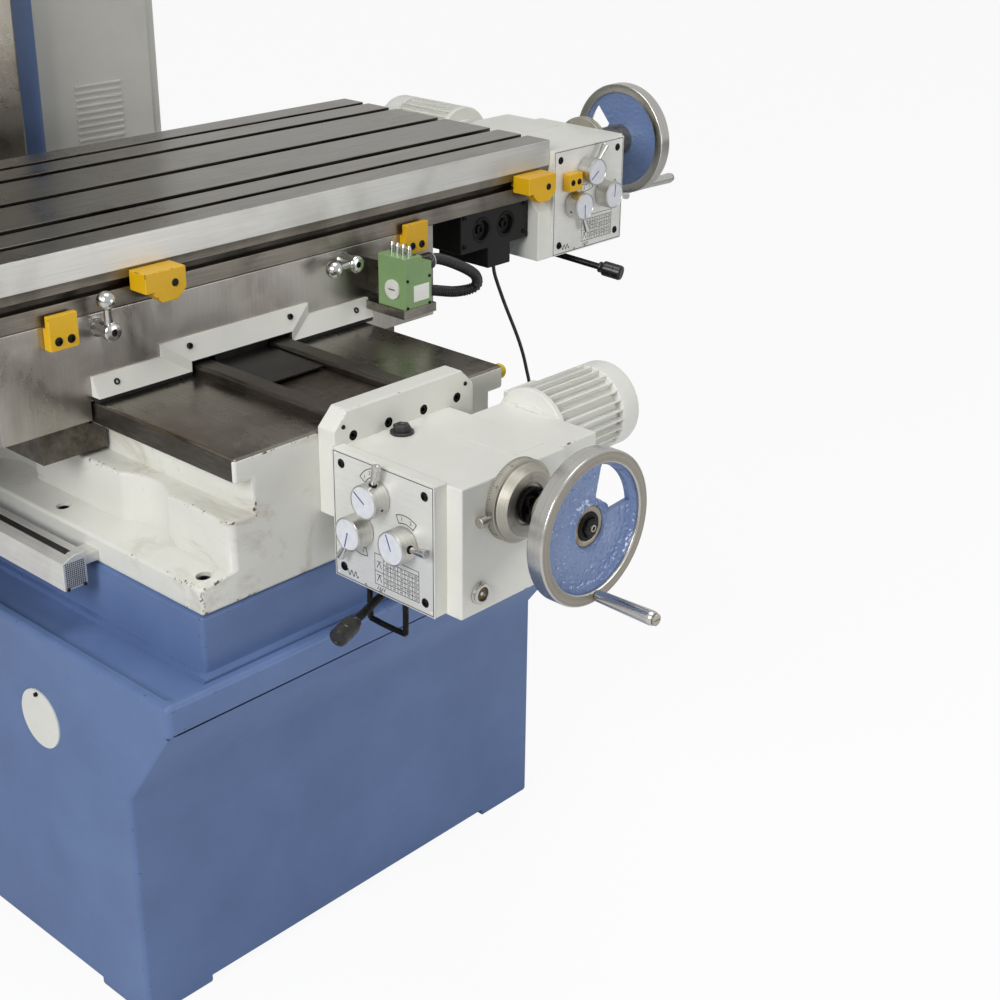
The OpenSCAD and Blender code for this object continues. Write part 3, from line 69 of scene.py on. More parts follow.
sensor_mm, lens_mm = 36, 59.75
stand = (-1.411, -2.059, 1.619)
looking = Vector((0.6724, 0.6156, -0.4111)).normalized()
roll = math.radians(0.632)
camera = placed("camera", bpy.data.cameras.new("camera"))
camera.data.sensor_width = sensor_mm
camera.data.lens = lens_mm
sideways = looking.cross(Vector((0, 0, 1))).normalized()
upwards = sideways.cross(looking)
turned = [
    sideways * math.cos(roll) + upwards * math.sin(roll),
    upwards * math.cos(roll) - sideways * math.sin(roll),
    -looking,
]
camera.matrix_world = Matrix.Translation(stand) @ Matrix(turned).transposed().to_4x4()
bpy.context.scene.camera = camera

# Cable of the drive block: 6 mm black PVC sheath, matt from handling. It leaves the block's underside,
# hangs behind the feed motor in one loop and ends in a clip under the saddle.


def colour(text):
    """Linear colour of an sRGB hex value such as 6A7EA1."""
    parts = [int(text[i:i + 2], 16) / 255 for i in (0, 2, 4)]
    return (*[c / 12.92 if c <= 0.04045 else ((c + 0.055) / 1.055) ** 2.4 for c in parts], 1.0)


def add(owner, kind, settings=None, inputs=None):
    """One node of a material, world or geometry tree, with its settings, fixed inputs and links."""
    tree = getattr(owner, "node_tree", owner)
    made = tree.nodes.new(kind if "Node" in kind else "ShaderNode" + kind)
    for name, value in (settings or {}).items():
        setattr(made, name, value)
    for name, value in (inputs or {}).items():
        if isinstance(value, bpy.types.NodeSocket):
            tree.links.new(value, made.inputs[name])
        else:
            made.inputs[name].default_value = value
    return made


def emptied(owner):
    """The new material or world with its node tree cleared."""
    owner.use_nodes = True
    owner.node_tree.nodes.clear()
    return owner


def moulded(name, light, dark, grain, rough, relief=0.15):
    """Moulded plastic or rubber: light and dark tone, grain is the mottle's size in metres. Handling
    leaves duller and shinier patches 40 mm across."""
    patch, skin_depth = 0.04, 0.0002
    material = emptied(bpy.data.materials.new(name))
    place = add(material, "TexCoord")
    mottle = add(material, "TexNoise", None, {"Vector": place.outputs["Object"], "Scale": 1 / grain,
                                              "Detail": 4})
    tone = add(material, "ValToRGB", None, {"Fac": mottle.outputs["Fac"]})
    for stop, position, tint in zip(tone.color_ramp.elements, (0.3, 0.7), (dark, light)):
        stop.position, stop.color = position, colour(tint)
    skin = add(material, "Bump", None, {"Height": mottle.outputs["Fac"], "Strength": relief,
                                        "Distance": skin_depth})
    handled = add(material, "TexNoise", None, {"Vector": place.outputs["Object"], "Scale": 1 / patch,
                                               "Detail": 3})
    shine = add(material, "MapRange", None, {"Value": handled.outputs["Fac"], "To Min": rough - 0.08,
                                             "To Max": rough + 0.1})
    shader = add(material, "BsdfPrincipled", None, {
        "Base Color": tone.outputs["Color"], "Roughness": shine.outputs["Result"],
        "Normal": skin.outputs["Normal"]})
    add(material, "OutputMaterial", None, {"Surface": shader.outputs["BSDF"]})
    return material


# Near black with a soft, slightly uneven shine
pvc = moulded("black_pvc_sheath", "26262A", "0F0F10", 0.006, 0.5)

cable_route = [
    (566, -228, 835), (570, -229, 815), (590, -232, 765), (625, -235, 690), (645, -235, 636),
    (660, -232, 580), (655, -220, 520), (630, -190, 465), (590, -150, 445), (545, -115, 480),
    (510, -85, 560), (460, -50, 650), (412, -10, 720), (391, 0, 765), (387, 0, 791),
]


def smooth_route(points, steps):
    """A smooth line through route points given in millimetres, in metres."""
    line = []
    for i in range(len(points) - 1):
        a, b, c, d = (Vector(points[min(max(k, 0), len(points) - 1)]) for k in (i - 1, i, i + 1, i + 2))
        for k in range(steps):
            t = k / steps
            line.append(0.5 * (2 * b + (c - a) * t + (2 * a - 5 * b + 4 * c - d) * t * t
                               + (3 * b - a - 3 * c + d) * t ** 3))
    line.append(Vector(points[-1]))
    return [p / 1000 for p in line]


def plain_mesh(holder):
    """What a curve or an object with modifiers shows, as a plain mesh. The object is removed."""
    bpy.context.view_layer.update()
    evaluated = holder.evaluated_get(bpy.context.evaluated_depsgraph_get())
    mesh = bpy.data.meshes.new_from_object(evaluated)
    holder.modifiers.clear()
    bpy.data.objects.remove(holder)
    return mesh


cable_radius = 0.003
cable_line = smooth_route(cable_route, 8)
cable_curve = bpy.data.curves.new("drive_cable", "CURVE")
cable_curve.dimensions = "3D"
cable_curve.bevel_depth = cable_radius
cable_curve.bevel_resolution = 3
cable_curve.use_fill_caps = True
spline = cable_curve.splines.new("POLY")
spline.points.add(len(cable_line) - 1)
for point, at in zip(spline.points, cable_line):
    point.co = (*at, 1)
cable_curve.materials.append(pvc)
cable = placed("drive_cable", plain_mesh(placed("cable_form", cable_curve)))
# Its two ends stay on the drive block and on the saddle, and the loop opens as the table slides
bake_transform(cable, "table", "saddle", start=cable_line[0], end=cable_line[-1])
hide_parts("x_cable")

# Studio: a pale seamless floor, a large soft lamp high on the left in front, a weaker one on the
# right, and a white surround that metal parts reflect.

floor_paint = emptied(bpy.data.materials.new("matt_white_floor"))
# Faint clouds, a third of a metre across
floor_place = add(floor_paint, "TexCoord")
floor_speck = add(floor_paint, "TexNoise", None, {"Vector": floor_place.outputs["Object"], "Scale": 3})
floor_tone = add(floor_paint, "ValToRGB", None, {"Fac": floor_speck.outputs["Fac"]})
floor_tone.color_ramp.elements[0].color = colour("F4F4F4")
floor_tone.color_ramp.elements[1].color = colour("F8F8F8")
floor_path = add(floor_paint, "LightPath")
floor_matt = add(floor_paint, "BsdfPrincipled", None, {"Base Color": floor_tone.outputs["Color"],
                                                      "Roughness": 0.9})
floor_glow = add(floor_paint, "Emission", None, {"Color": (1, 1, 1, 1), "Strength": 1.0})
# To the camera most of the floor glows, which keeps it white and the machine's shadow faint
glow_share = 0.93
floor_share = add(floor_paint, "Math", {"operation": "MULTIPLY"},
                  {0: floor_path.outputs["Is Camera Ray"], 1: glow_share})
floor_mix = add(floor_paint, "MixShader", None, {"Fac": floor_share.outputs["Value"],
                                                 1: floor_matt.outputs["BSDF"],
                                                 2: floor_glow.outputs["Emission"]})
add(floor_paint, "OutputMaterial", None, {"Surface": floor_mix.outputs["Shader"]})
half = 12
floor_mesh = bpy.data.meshes.new("studio_floor")
floor_mesh.from_pydata([(-half, -half, 0), (half, -half, 0), (half, half, 0), (-half, half, 0)], [],
                       [(0, 1, 2, 3)])
floor_mesh.materials.append(floor_paint)
floor = placed("studio_floor", floor_mesh)

surround = emptied(bpy.data.worlds.new("white_surround"))
seen = add(surround, "LightPath")
seen_or_through = add(surround, "Math", {"operation": "MAXIMUM"},
                      {0: seen.outputs["Is Camera Ray"], 1: seen.outputs["Is Transmission Ray"]})
# Its strength as soft light and as a reflection in metal. Where the camera sees it, it is plain white
soft_light, in_metal = 0.2, 0.65
mirrored = add(surround, "Math", {"operation": "MULTIPLY_ADD"},
               {0: seen.outputs["Is Glossy Ray"], 1: in_metal - soft_light, 2: soft_light})
strength = add(surround, "Math", {"operation": "MAXIMUM"},
               {0: seen_or_through.outputs["Value"], 1: mirrored.outputs["Value"]})
white_sky = add(surround, "Background", None, {"Color": (1, 1, 1, 1),
                                               "Strength": strength.outputs["Value"]})
add(surround, "OutputWorld", None, {"Surface": white_sky.outputs["Background"]})
bpy.context.scene.world = surround

for name, place, aim, size, power in (
        ("key_lamp", (-4.6, -1.6, 3.4), (0.0, -0.3, 0.7), 2.4, 165),
        ("fill_lamp", (1.5, -3.3, 1.0), (0.1, -0.4, 0.8), 1.2, 20),
        ("top_lamp", (0.2, -0.6, 4.6), (0.0, -0.4, 0.8), 2.2, 54)):
    lamp = placed(name, bpy.data.lights.new(name, "AREA"))
    lamp.data.shape = "SQUARE"
    lamp.data.size = size
    lamp.data.energy = power
    lamp.location = place
    lamp.rotation_euler = (Vector(place) - Vector(aim)).to_track_quat("Z", "Y").to_euler()

bpy.context.scene.view_settings.view_transform = "Standard"

# Base: one grey iron casting, ground over and sprayed with two-part blue machine enamel. Its edges
# have the casting's soft radii, and the film has a faint orange peel and a little dust.


def enamel(name, light, dark, worn, peel=0.35, peel_size=0.003, shine=0.34, grime=0.35, chips=0.6,
           mirror=0.5, oil=0.0):
    """Sprayed machine enamel: light and dark tone of the film, worn is the tone at bare edges, mirror
    how strongly the film reflects and oil how much brown way oil has dried on it."""
    # Repeats in a metre: clouds 170 mm across, runs of oil 140 mm, flakes 8 mm and dirt specks 6 mm
    clouds_in_m, runs_in_m, flakes_in_m, specks_in_m = 6, 7, 120, 170
    paint = emptied(bpy.data.materials.new(name))
    place = add(paint, "TexCoord").outputs["Object"]
    clouds = add(paint, "TexNoise", None, {"Vector": place, "Scale": clouds_in_m, "Detail": 5,
                                           "Roughness": 0.6})
    tone = add(paint, "ValToRGB", None, {"Fac": clouds.outputs["Fac"]})
    for stop, position, tint in zip(tone.color_ramp.elements, (0.3, 0.72), (dark, light)):
        stop.position, stop.color = position, colour(tint)
    specks = add(paint, "TexNoise", None, {"Vector": place, "Scale": specks_in_m, "Detail": 6,
                                           "Roughness": 0.75})
    dirt = add(paint, "MapRange", None, {"Value": specks.outputs["Fac"], "From Min": 0.62,
                                         "From Max": 0.78, "To Max": grime})
    soiled = add(paint, "MixRGB", {"blend_type": "MULTIPLY"}, {"Fac": dirt.outputs["Result"],
                                                               "Color1": tone.outputs["Color"],
                                                               "Color2": colour("8A8378")})
    runs = add(paint, "TexNoise", None, {"Vector": place, "Scale": runs_in_m, "Detail": 8,
                                         "Roughness": 0.68, "Distortion": 0.6})
    dried = add(paint, "MapRange", None, {"Value": runs.outputs["Fac"], "From Min": 0.54,
                                          "From Max": 0.7, "To Max": oil})
    oily = add(paint, "MixRGB", {"blend_type": "MULTIPLY"}, {"Fac": dried.outputs["Result"],
                                                             "Color1": soiled.outputs["Color"],
                                                             "Color2": colour("A88F66")})
    edge = add(paint, "Attribute", {"attribute_name": "edge"})
    flakes = add(paint, "TexNoise", None, {"Vector": place, "Scale": flakes_in_m, "Detail": 5,
                                           "Roughness": 0.7})
    chipped = add(paint, "MapRange", None, {"Value": flakes.outputs["Fac"], "From Min": chips,
                                            "From Max": chips + 0.05})
    # Knocks come in clusters, so only stretches of an edge have chips
    knocked = add(paint, "MapRange", None, {"Value": runs.outputs["Fac"], "From Min": 0.49,
                                            "From Max": 0.55, "To Max": edge.outputs["Fac"]})
    bare = add(paint, "Math", {"operation": "MULTIPLY"}, {0: chipped.outputs["Result"],
                                                          1: knocked.outputs["Result"]})
    film = add(paint, "MixRGB", None, {"Fac": bare.outputs["Value"], "Color1": oily.outputs["Color"],
                                       "Color2": colour(worn)})
    # Orange peel: crests peel_size apart, peel sixths of that deep
    orange = add(paint, "TexNoise", None, {"Vector": place, "Scale": 1 / peel_size, "Detail": 1})
    relief = add(paint, "Bump", None, {"Height": orange.outputs["Fac"], "Strength": 1.0,
                                       "Distance": peel * peel_size / 6})
    gloss = add(paint, "MapRange", None, {"Value": clouds.outputs["Fac"], "To Min": shine - 0.06,
                                          "To Max": shine + 0.12})
    shader = add(paint, "BsdfPrincipled", None, {"Base Color": film.outputs["Color"],
                                                 "Roughness": gloss.outputs["Result"],
                                                 "Specular IOR Level": mirror,
                                                 "Normal": relief.outputs["Normal"]})
    add(paint, "OutputMaterial", None, {"Surface": shader.outputs["BSDF"]})
    return paint


def new_shape():
    """An empty shape in millimetres. Turned forms keep their radius and height for the tool marks."""
    shape = bmesh.new()
    shape.faces.layers.float.new("edge")
    shape.verts.layers.float.new("radius")
    shape.verts.layers.float.new("along")
    return shape


def rounded(node, width, longest=20, sharpest=30, segments=3):
    """The node's solid as a shape whose long outer edges are rounded by width, with edge = 1 there.
    The rims of holes and the edges of faces too narrow for the radius stay sharp."""
    shape = new_shape()
    shape.from_mesh(frame["nodes"][node].data)
    bmesh.ops.scale(shape, vec=(1000, 1000, 1000), verts=shape.verts)
    bmesh.ops.remove_doubles(shape, verts=shape.verts, dist=0.02)
    bmesh.ops.dissolve_limit(shape, angle_limit=math.radians(0.5), verts=shape.verts, edges=shape.edges)
    sharp = set()
    for edge in shape.edges:
        if len(edge.link_faces) != 2 or not edge.is_convex:
            continue
        if edge.calc_face_angle(0) > math.radians(sharpest):
            start, run = edge.verts[0].co, (edge.verts[1].co - edge.verts[0].co).normalized()
            depth = min(max(((v.co - start) - (v.co - start).dot(run) * run).length for v in face.verts)
                        for face in edge.link_faces)
            # Both sides of a face may be rounded, so it has to be wider than two radii
            if depth > 2.1 * width:
                sharp.add(edge)
    # Taken in the mesh's own order, so that each run rounds the same edges
    shape.edges.index_update()
    short = [e for e in sharp if e.calc_length() < 2.2 * width]
    for edge in sorted(short, key=lambda e: e.index):
        run = (edge.verts[1].co - edge.verts[0].co).normalized()
        turns = [max([0] + [1 - abs((o.verts[1].co - o.verts[0].co).normalized().dot(run))
                            for o in v.link_edges if o in sharp and o is not edge]) for v in edge.verts]
        if min(turns) > 0.15:
            sharp.discard(edge)
    chosen = []
    while sharp:
        chain = [sharp.pop()]
        for edge in chain:
            for corner in edge.verts:
                for other in corner.link_edges:
                    if other in sharp:
                        sharp.remove(other)
                        chain.append(other)
        if max(e.calc_length() for e in chain) > longest:
            chosen += chain
    if width:
        made = bmesh.ops.bevel(shape, geom=chosen, offset=width, offset_type="OFFSET",
                               segments=segments, profile=0.5, affect="EDGES", clamp_overlap=False)
        layer = shape.faces.layers.float["edge"]
        for face in made["faces"]:
            face[layer] = 1.0
    return shape


def finished(shape, name, paints, place=Matrix(), smooth=28):
    """The shape as an object in metres, its faces turned outwards and painted in the given finishes."""
    bmesh.ops.recalc_face_normals(shape, faces=shape.faces)
    mesh = bpy.data.meshes.new(name)
    shape.to_mesh(mesh)
    shape.free()
    mesh.transform(place @ Matrix.Scale(0.001, 4))
    for paint in paints:
        mesh.materials.append(paint)
    mesh.shade_smooth()
    mesh.set_sharp_from_angle(angle=math.radians(smooth))
    piece = placed(name, mesh)
    # Wide flat faces keep their own direction, so that only the round edges shade softly
    even = piece.modifiers.new("even_shading", "WEIGHTED_NORMAL")
    even.keep_sharp = True
    return piece


def fit(piece, node):
    """The piece rides on the node's body and stands for the node, whose own part is hidden."""
    body = next(b for b, nodes in frame["record"]["behaviour"]["bodies"].items() if node in nodes)
    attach(piece, body)
    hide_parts(node)


blue_enamel = enamel("blue_machine_enamel", "6981AE", "5C739F", "37435C", mirror=0.3)
fit(finished(rounded("base", 7), "cast_base", [blue_enamel]), "base")

# Port cover: a 3 mm sheet disc in white enamel over the round service port in the base's left face.


def turn(shape, profile, at=(0, 0, 0), axis=(0, 0, 1), paint=0, sides=64, hollow=False):
    """Revolves (radius, height) points round an axis. A hollow profile is closed on itself."""
    stand = Vector(axis).to_track_quat("Z", "Y").to_matrix()
    radius, along = shape.verts.layers.float["radius"], shape.verts.layers.float["along"]
    rings = []
    for r, h in profile:
        rings.append([])
        for k in range(sides if r > 0 else 1):
            angle = 2 * math.pi * k / sides
            spot = stand @ Vector((r * math.cos(angle), r * math.sin(angle), h))
            rings[-1].append(shape.verts.new(Vector(at) + spot))
            rings[-1][-1][radius], rings[-1][-1][along] = r, h
    if hollow:
        rings.append(rings[0])
    for a, b in zip(rings, rings[1:]):
        for k in range(sides):
            corners = [a[k % len(a)], a[(k + 1) % len(a)], b[(k + 1) % len(b)], b[k % len(b)]]
            corners = list(dict.fromkeys(corners))
            if len(corners) > 2:
                shape.faces.new(corners).material_index = paint


# The film is glossy with a fine orange peel, and dark primer shows where it has chipped
white_enamel = enamel("white_machine_enamel", "EFEFE8", "E2E2DA", "57504A", peel=0.3, grime=0.3)
port_centre = (-401, -291, 411)
cover = new_shape()
turn(cover, [(0, 3), (42.5, 3), (43.6, 2.6), (44, 1.8), (44, 0), (0, 0)], port_centre, (-1, 0, 0))
fit(finished(cover, "port_cover", [white_enamel]), "port_cover")

# Bed: grey iron casting in white enamel with waved flanks. Its ways and centre guide are ground
# bright and oiled, so the oil darkens the iron and stains the paint beside the machined edges.


def ground_metal(name, light, dark, stretch, rough=0.34, stained="4A4036", stains=0.5, relief=0.25,
                 bare=1.0):
    """Ground iron: stretch is how many wheel marks come in a metre along x, y and z, few along the
    marks, and 700 are 1.4 mm apart. An anodised or lacquered face is less bare than 1 and paler."""
    # Pools of oil 110 mm across, 9 in a metre, and marks drawn 0.3 mm deep, so that they show
    pools_in_m, mark_depth = 9, 0.0003
    metal = emptied(bpy.data.materials.new(name))
    place = add(metal, "TexCoord").outputs["Object"]
    lay = add(metal, "Mapping", None, {"Vector": place, "Scale": stretch})
    marks = add(metal, "TexNoise", None, {"Vector": lay.outputs["Vector"], "Scale": 1, "Detail": 5,
                                          "Roughness": 0.7})
    tone = add(metal, "ValToRGB", None, {"Fac": marks.outputs["Fac"]})
    for stop, position, tint in zip(tone.color_ramp.elements, (0.28, 0.72), (dark, light)):
        stop.position, stop.color = position, colour(tint)
    pools = add(metal, "TexNoise", None, {"Vector": place, "Scale": pools_in_m, "Detail": 7,
                                          "Roughness": 0.62, "Distortion": 0.4})
    oiled = add(metal, "MapRange", None, {"Value": pools.outputs["Fac"], "From Min": 0.45,
                                          "From Max": 0.68, "To Max": stains})
    skin = add(metal, "MixRGB", None, {"Fac": oiled.outputs["Result"], "Color1": tone.outputs["Color"],
                                       "Color2": colour(stained)})
    gloss = add(metal, "MapRange", None, {"Value": pools.outputs["Fac"], "From Min": 0.3,
                                          "From Max": 0.7, "To Min": rough + 0.1,
                                          "To Max": rough - 0.08})
    scratch = add(metal, "Bump", None, {"Height": marks.outputs["Fac"], "Strength": relief,
                                        "Distance": mark_depth})
    shader = add(metal, "BsdfPrincipled", None, {"Base Color": skin.outputs["Color"], "Metallic": bare,
                                                 "Roughness": gloss.outputs["Result"],
                                                 "Normal": scratch.outputs["Normal"]})
    add(metal, "OutputMaterial", None, {"Surface": shader.outputs["BSDF"]})
    return metal


def paint_where(shape, test, paint):
    """Paints the faces whose middle, in millimetres, and normal pass the test."""
    shape.normal_update()
    for face in shape.faces:
        if test(face.calc_center_median(), face.normal):
            face.material_index = paint


def slice_at(shape, spot, normal):
    """Cuts the faces of a shape along a plane, so that paint can end there."""
    bmesh.ops.bisect_plane(shape, geom=shape.verts[:] + shape.edges[:] + shape.faces[:], dist=0.001,
                           plane_co=spot, plane_no=normal)


def block(shape, low, high, soft=0.8, paint=0, place=Matrix()):
    """A solid from its low to its high corner with its edges rounded by soft."""
    count = len(shape.faces)
    size, middle = Vector(high) - Vector(low), (Vector(high) + Vector(low)) / 2
    cube = bmesh.ops.create_cube(shape, size=1, matrix=place @ Matrix.Translation(middle)
                                 @ Matrix.Diagonal((*size, 1)))
    corners = set(cube["verts"])
    if soft:
        edges = list({e for v in corners for e in v.link_edges})
        made = bmesh.ops.bevel(shape, geom=edges, offset=soft, offset_type="OFFSET", segments=2,
                               profile=0.5, affect="EDGES")
        corners |= {v for f in made["faces"] for v in f.verts}
    for face in {f for v in corners if v.is_valid for f in v.link_faces}:
        face.material_index = paint


# Wheel marks run along the ways and shine. Flanks and guide are duller under old brown oil
way_iron = ground_metal("ground_iron_ways", "A39E95", "7F7A71", (700, 14, 700), 0.25, "5E5548", 0.6)
flank_iron = ground_metal("scraped_iron_flanks", "77736B", "58544D", (240, 30, 240), 0.44, "433C33",
                          0.5)
guide_iron = ground_metal("oiled_iron_guide", "6A655D", "45413B", (500, 20, 500), 0.4, "38322B")
channel_sheet = ground_metal("oil_darkened_sheet", "6F675D", "4B443C", (90, 90, 90), 0.4, "3A3028", 0.6)
# The white film has brown oil dried on it and more chips than the rest
bed_enamel = enamel("oil_stained_white_enamel", "EFEFE8", "E2E2DA", "5A4B3C", peel=0.3, grime=0.35,
                    chips=0.57, oil=0.55)
# Where the machined faces end: the ways' front, their flanks below, above and inside, and the guide
ways_front, ways_low, ways_top, flank_in, guide_out, guide_foot = -541, 784.5, 815.5, 240, 86, 726
bed = rounded("bed", 5)
slice_at(bed, (0, ways_front, 0), (0, 1, 0))
slice_at(bed, (0, 0, ways_top), (0, 0, 1))
paint_where(bed, lambda at, n: at.z > ways_low and n.z > -0.5 and abs(at.x) > flank_in
            and at.y > ways_front, 3)
paint_where(bed, lambda at, n: at.z > ways_top + 0.1 and (n.z > 0.3 or at.y > ways_front), 1)
paint_where(bed, lambda at, n: abs(at.x) < guide_out and at.z > guide_foot
            and at.y > ways_front - 4, 2)
# Fixed sheet under the sliding cover, over the open front of the screw's channel
block(bed, (-51.5, -545.5, 818), (51.5, -200, 822), 0.6, 4)
fit(finished(bed, "cast_bed", [bed_enamel, way_iron, guide_iron, flank_iron, channel_sheet]), "bed")

# Plug of the right way's oil bore: moulded yellow polyethylene, pressed in. It is even and waxy.

yellow_plastic = moulded("yellow_polyethylene", "F6D62A", "E6BE14", 0.01, 0.4)
plug = new_shape()
turn(plug, [(0, -14), (6, -14), (6, 0), (11, 0), (11, 12), (9, 15.5), (5, 17), (0, 17)],
     (248, -526, 802), (1, 0, 0))
fit(finished(plug, "way_plug", [yellow_plastic]), "way_plug")

# Socket head screws: blackened steel, turned heads with a chamfer and a hexagon socket. One tree
# makes them all. They hold bed, column, flange and cover, and later sections use the tree again.


def new_tree(name, sizes):
    """A new tree that takes spots, sizes named with their kinds and a finish, and its inputs."""
    tree = bpy.data.node_groups.new(name, "GeometryNodeTree")
    for socket, kind in {"Spots": "Geometry", **sizes, "Finish": "Material"}.items():
        tree.interface.new_socket(socket, in_out="INPUT", socket_type="NodeSocket" + kind)
    tree.interface.new_socket("Made", in_out="OUTPUT", socket_type="NodeSocketGeometry")
    return tree, add(tree, "NodeGroupInput").outputs


def end_tree(tree, made, finish):
    """Ends the tree: its instances become one real mesh in the given finish."""
    real = add(tree, "GeometryNodeRealizeInstances", None, {"Geometry": made})
    dressed = add(tree, "GeometryNodeSetMaterial", None, {"Geometry": real.outputs["Geometry"],
                                                          "Material": finish})
    add(tree, "NodeGroupOutput", None, {"Made": dressed.outputs["Geometry"]})


# A dull dark sheen, browner where oil has dried
black_steel = ground_metal("blackened_steel", "3A3938", "1C1B1B", (300, 300, 300), 0.42, "141312", 0.6)
screw_tree, given = new_tree("socket_head_screws", {
    "Head radius": "Float", "Head height": "Float", "Socket radius": "Float"})
# As shares of the head: chamfer to radius, and the socket's floor to height
head_sides, chamfer, socket_floor = 28, 0.14, 0.4
bevel_h = add(screw_tree, "Math", {"operation": "MULTIPLY"}, {0: given["Head radius"], 1: chamfer})
inner_r = add(screw_tree, "Math", {"operation": "SUBTRACT"}, {0: given["Head radius"],
                                                              1: bevel_h.outputs["Value"]})
body_h = add(screw_tree, "Math", {"operation": "SUBTRACT"}, {0: given["Head height"],
                                                             1: bevel_h.outputs["Value"]})
head_body = add(screw_tree, "GeometryNodeMeshCone", None, {
    "Vertices": head_sides, "Radius Top": given["Head radius"], "Radius Bottom": given["Head radius"],
    "Depth": body_h.outputs["Value"]})
head_rim = add(screw_tree, "GeometryNodeMeshCone", None, {
    "Vertices": head_sides, "Radius Top": inner_r.outputs["Value"],
    "Radius Bottom": given["Head radius"], "Depth": bevel_h.outputs["Value"]})
rim_up = add(screw_tree, "CombineXYZ", None, {"Z": body_h.outputs["Value"]})
raised = add(screw_tree, "GeometryNodeTransform", None, {"Geometry": head_rim.outputs["Mesh"],
                                                         "Translation": rim_up.outputs["Vector"]})
whole = add(screw_tree, "GeometryNodeMeshBoolean", {"operation": "UNION", "solver": "EXACT"})
screw_tree.links.new(head_body.outputs["Mesh"], whole.inputs["Mesh 2"])
screw_tree.links.new(raised.outputs["Geometry"], whole.inputs["Mesh 2"])
hexagon = add(screw_tree, "GeometryNodeMeshCone", None, {
    "Vertices": 6, "Radius Top": given["Socket radius"], "Radius Bottom": given["Socket radius"],
    "Depth": given["Head height"]})
floor_h = add(screw_tree, "Math", {"operation": "MULTIPLY"}, {0: given["Head height"], 1: socket_floor})
socket_up = add(screw_tree, "CombineXYZ", None, {"Z": floor_h.outputs["Value"]})
sunk = add(screw_tree, "GeometryNodeTransform", None, {"Geometry": hexagon.outputs["Mesh"],
                                                       "Translation": socket_up.outputs["Vector"]})
bored = add(screw_tree, "GeometryNodeMeshBoolean", {"operation": "DIFFERENCE", "solver": "EXACT"},
            {"Mesh 1": whole.outputs["Mesh"]})
screw_tree.links.new(sunk.outputs["Geometry"], bored.inputs["Mesh 2"])
aim = add(screw_tree, "GeometryNodeInputNamedAttribute", {"data_type": "FLOAT_VECTOR"}, {"Name": "aim"})
aimed = add(screw_tree, "FunctionNodeAlignRotationToVector", {"axis": "Z"},
            {"Vector": aim.outputs["Attribute"]})
set_in = add(screw_tree, "GeometryNodeInstanceOnPoints", None, {
    "Points": given["Spots"], "Instance": bored.outputs["Mesh"], "Rotation": aimed.outputs["Rotation"]})
end_tree(screw_tree, set_in.outputs["Instances"], given["Finish"])


def pour(shape, mesh, paint):
    """Adds a mesh to a shape and paints what was added."""
    for face in shape.faces:
        face.tag = True
    shape.from_mesh(mesh)
    for face in shape.faces:
        if not face.tag:
            face.material_index = paint


def grown(shape, tree, spots, sizes, finish, paint=0, edges=()):
    """Adds what a tree makes at the spots, given as (place, direction) in millimetres, to a shape."""
    seeds = bpy.data.meshes.new("spots")
    seeds.from_pydata([s[0] for s in spots], edges, [])
    aims = seeds.attributes.new("aim", "FLOAT_VECTOR", "POINT")
    for k, s in enumerate(spots):
        aims.data[k].vector = s[1]
    holder = placed("spots", seeds)
    modifier = holder.modifiers.new("grown", "NODES")
    modifier.node_group = tree
    for item in tree.interface.items_tree:
        if item.in_out == "INPUT" and item.name in sizes:
            modifier[item.identifier] = sizes[item.name]
        if item.in_out == "INPUT" and item.name == "Finish":
            modifier[item.identifier] = finish
    pour(shape, plain_mesh(holder), paint)


def screws(shape, spots, radius, height, paint=0):
    """Screw heads at (place, direction) spots, the heads' undersides on the places. Their sockets
    are 0.6 of a head across."""
    grown(shape, screw_tree, spots, {"Head radius": radius, "Head height": height,
                                     "Socket radius": radius * 0.6}, black_steel, paint)


frame_screws = new_shape()
bed_bolts = [(x, y, 650) for x in (-283, 283) for y in (-520, -211, 98, 407)]
flange_screws = (-81, -18, 47, 111)
screws(frame_screws, [(spot, (0, 0, 1)) for spot in bed_bolts], 9, 12)
# A black ring fills the gap round each bolt's head in its pocket, painted shade of that gap
for spot in bed_bolts:
    turn(frame_screws, [(8.8, 0), (10.3, 0), (10.3, 8.5), (8.8, 9.2)], spot, sides=28, hollow=True)
screws(frame_screws, [((x, y, 652), (0, 0, 1)) for x in (-250, 250) for y in (590, 860)], 9, 12)
screws(frame_screws, [((6 + x, -569, 813), (0, -1, 0)) for x in flange_screws], 6, 8)
screws(frame_screws, [((-404, -291, 450), (-1, 0, 0))], 3, 4)
fit(finished(frame_screws, "frame_screws", [black_steel]), "cap_screws")

# Scale of the position readout: extruded aluminium housing with a rubber-lipped slot, screwed to the
# bed's foot on two bars. Its front end cap is perforated sheet, its holes drawn as black discs of painted
# shade. The reader's block rides in the slot.

# Pale and silky, with die lines along the profile. The rubber is dull and nearly black
aluminium = ground_metal("extruded_aluminium", "EDECE8", "DAD9D5", (400, 6, 400), 0.36, "B4B0A8", 0.35,
                         bare=0.45)
dark_rubber = moulded("nitrile_rubber", "232325", "111112", 0.004, 0.62)
holes, given = new_tree("perforation_shade_discs", {
    "Width": "Float", "Height": "Float", "Columns": "Int", "Rows": "Int", "Hole radius": "Float"})
lattice = add(holes, "GeometryNodeMeshGrid", None, {
    "Size X": given["Width"], "Size Y": given["Height"],
    "Vertices X": given["Columns"], "Vertices Y": given["Rows"]})
hole_sides, hole_depth = 10, 0.5
hole = add(holes, "GeometryNodeMeshCone", None, {
    "Vertices": hole_sides, "Radius Top": given["Hole radius"], "Radius Bottom": given["Hole radius"],
    "Depth": hole_depth})
hole_shade_discs = add(holes, "GeometryNodeInstanceOnPoints", None, {"Points": lattice.outputs["Mesh"],
                                                            "Instance": hole.outputs["Mesh"]})
end_tree(holes, hole_shade_discs.outputs["Instances"], given["Finish"])
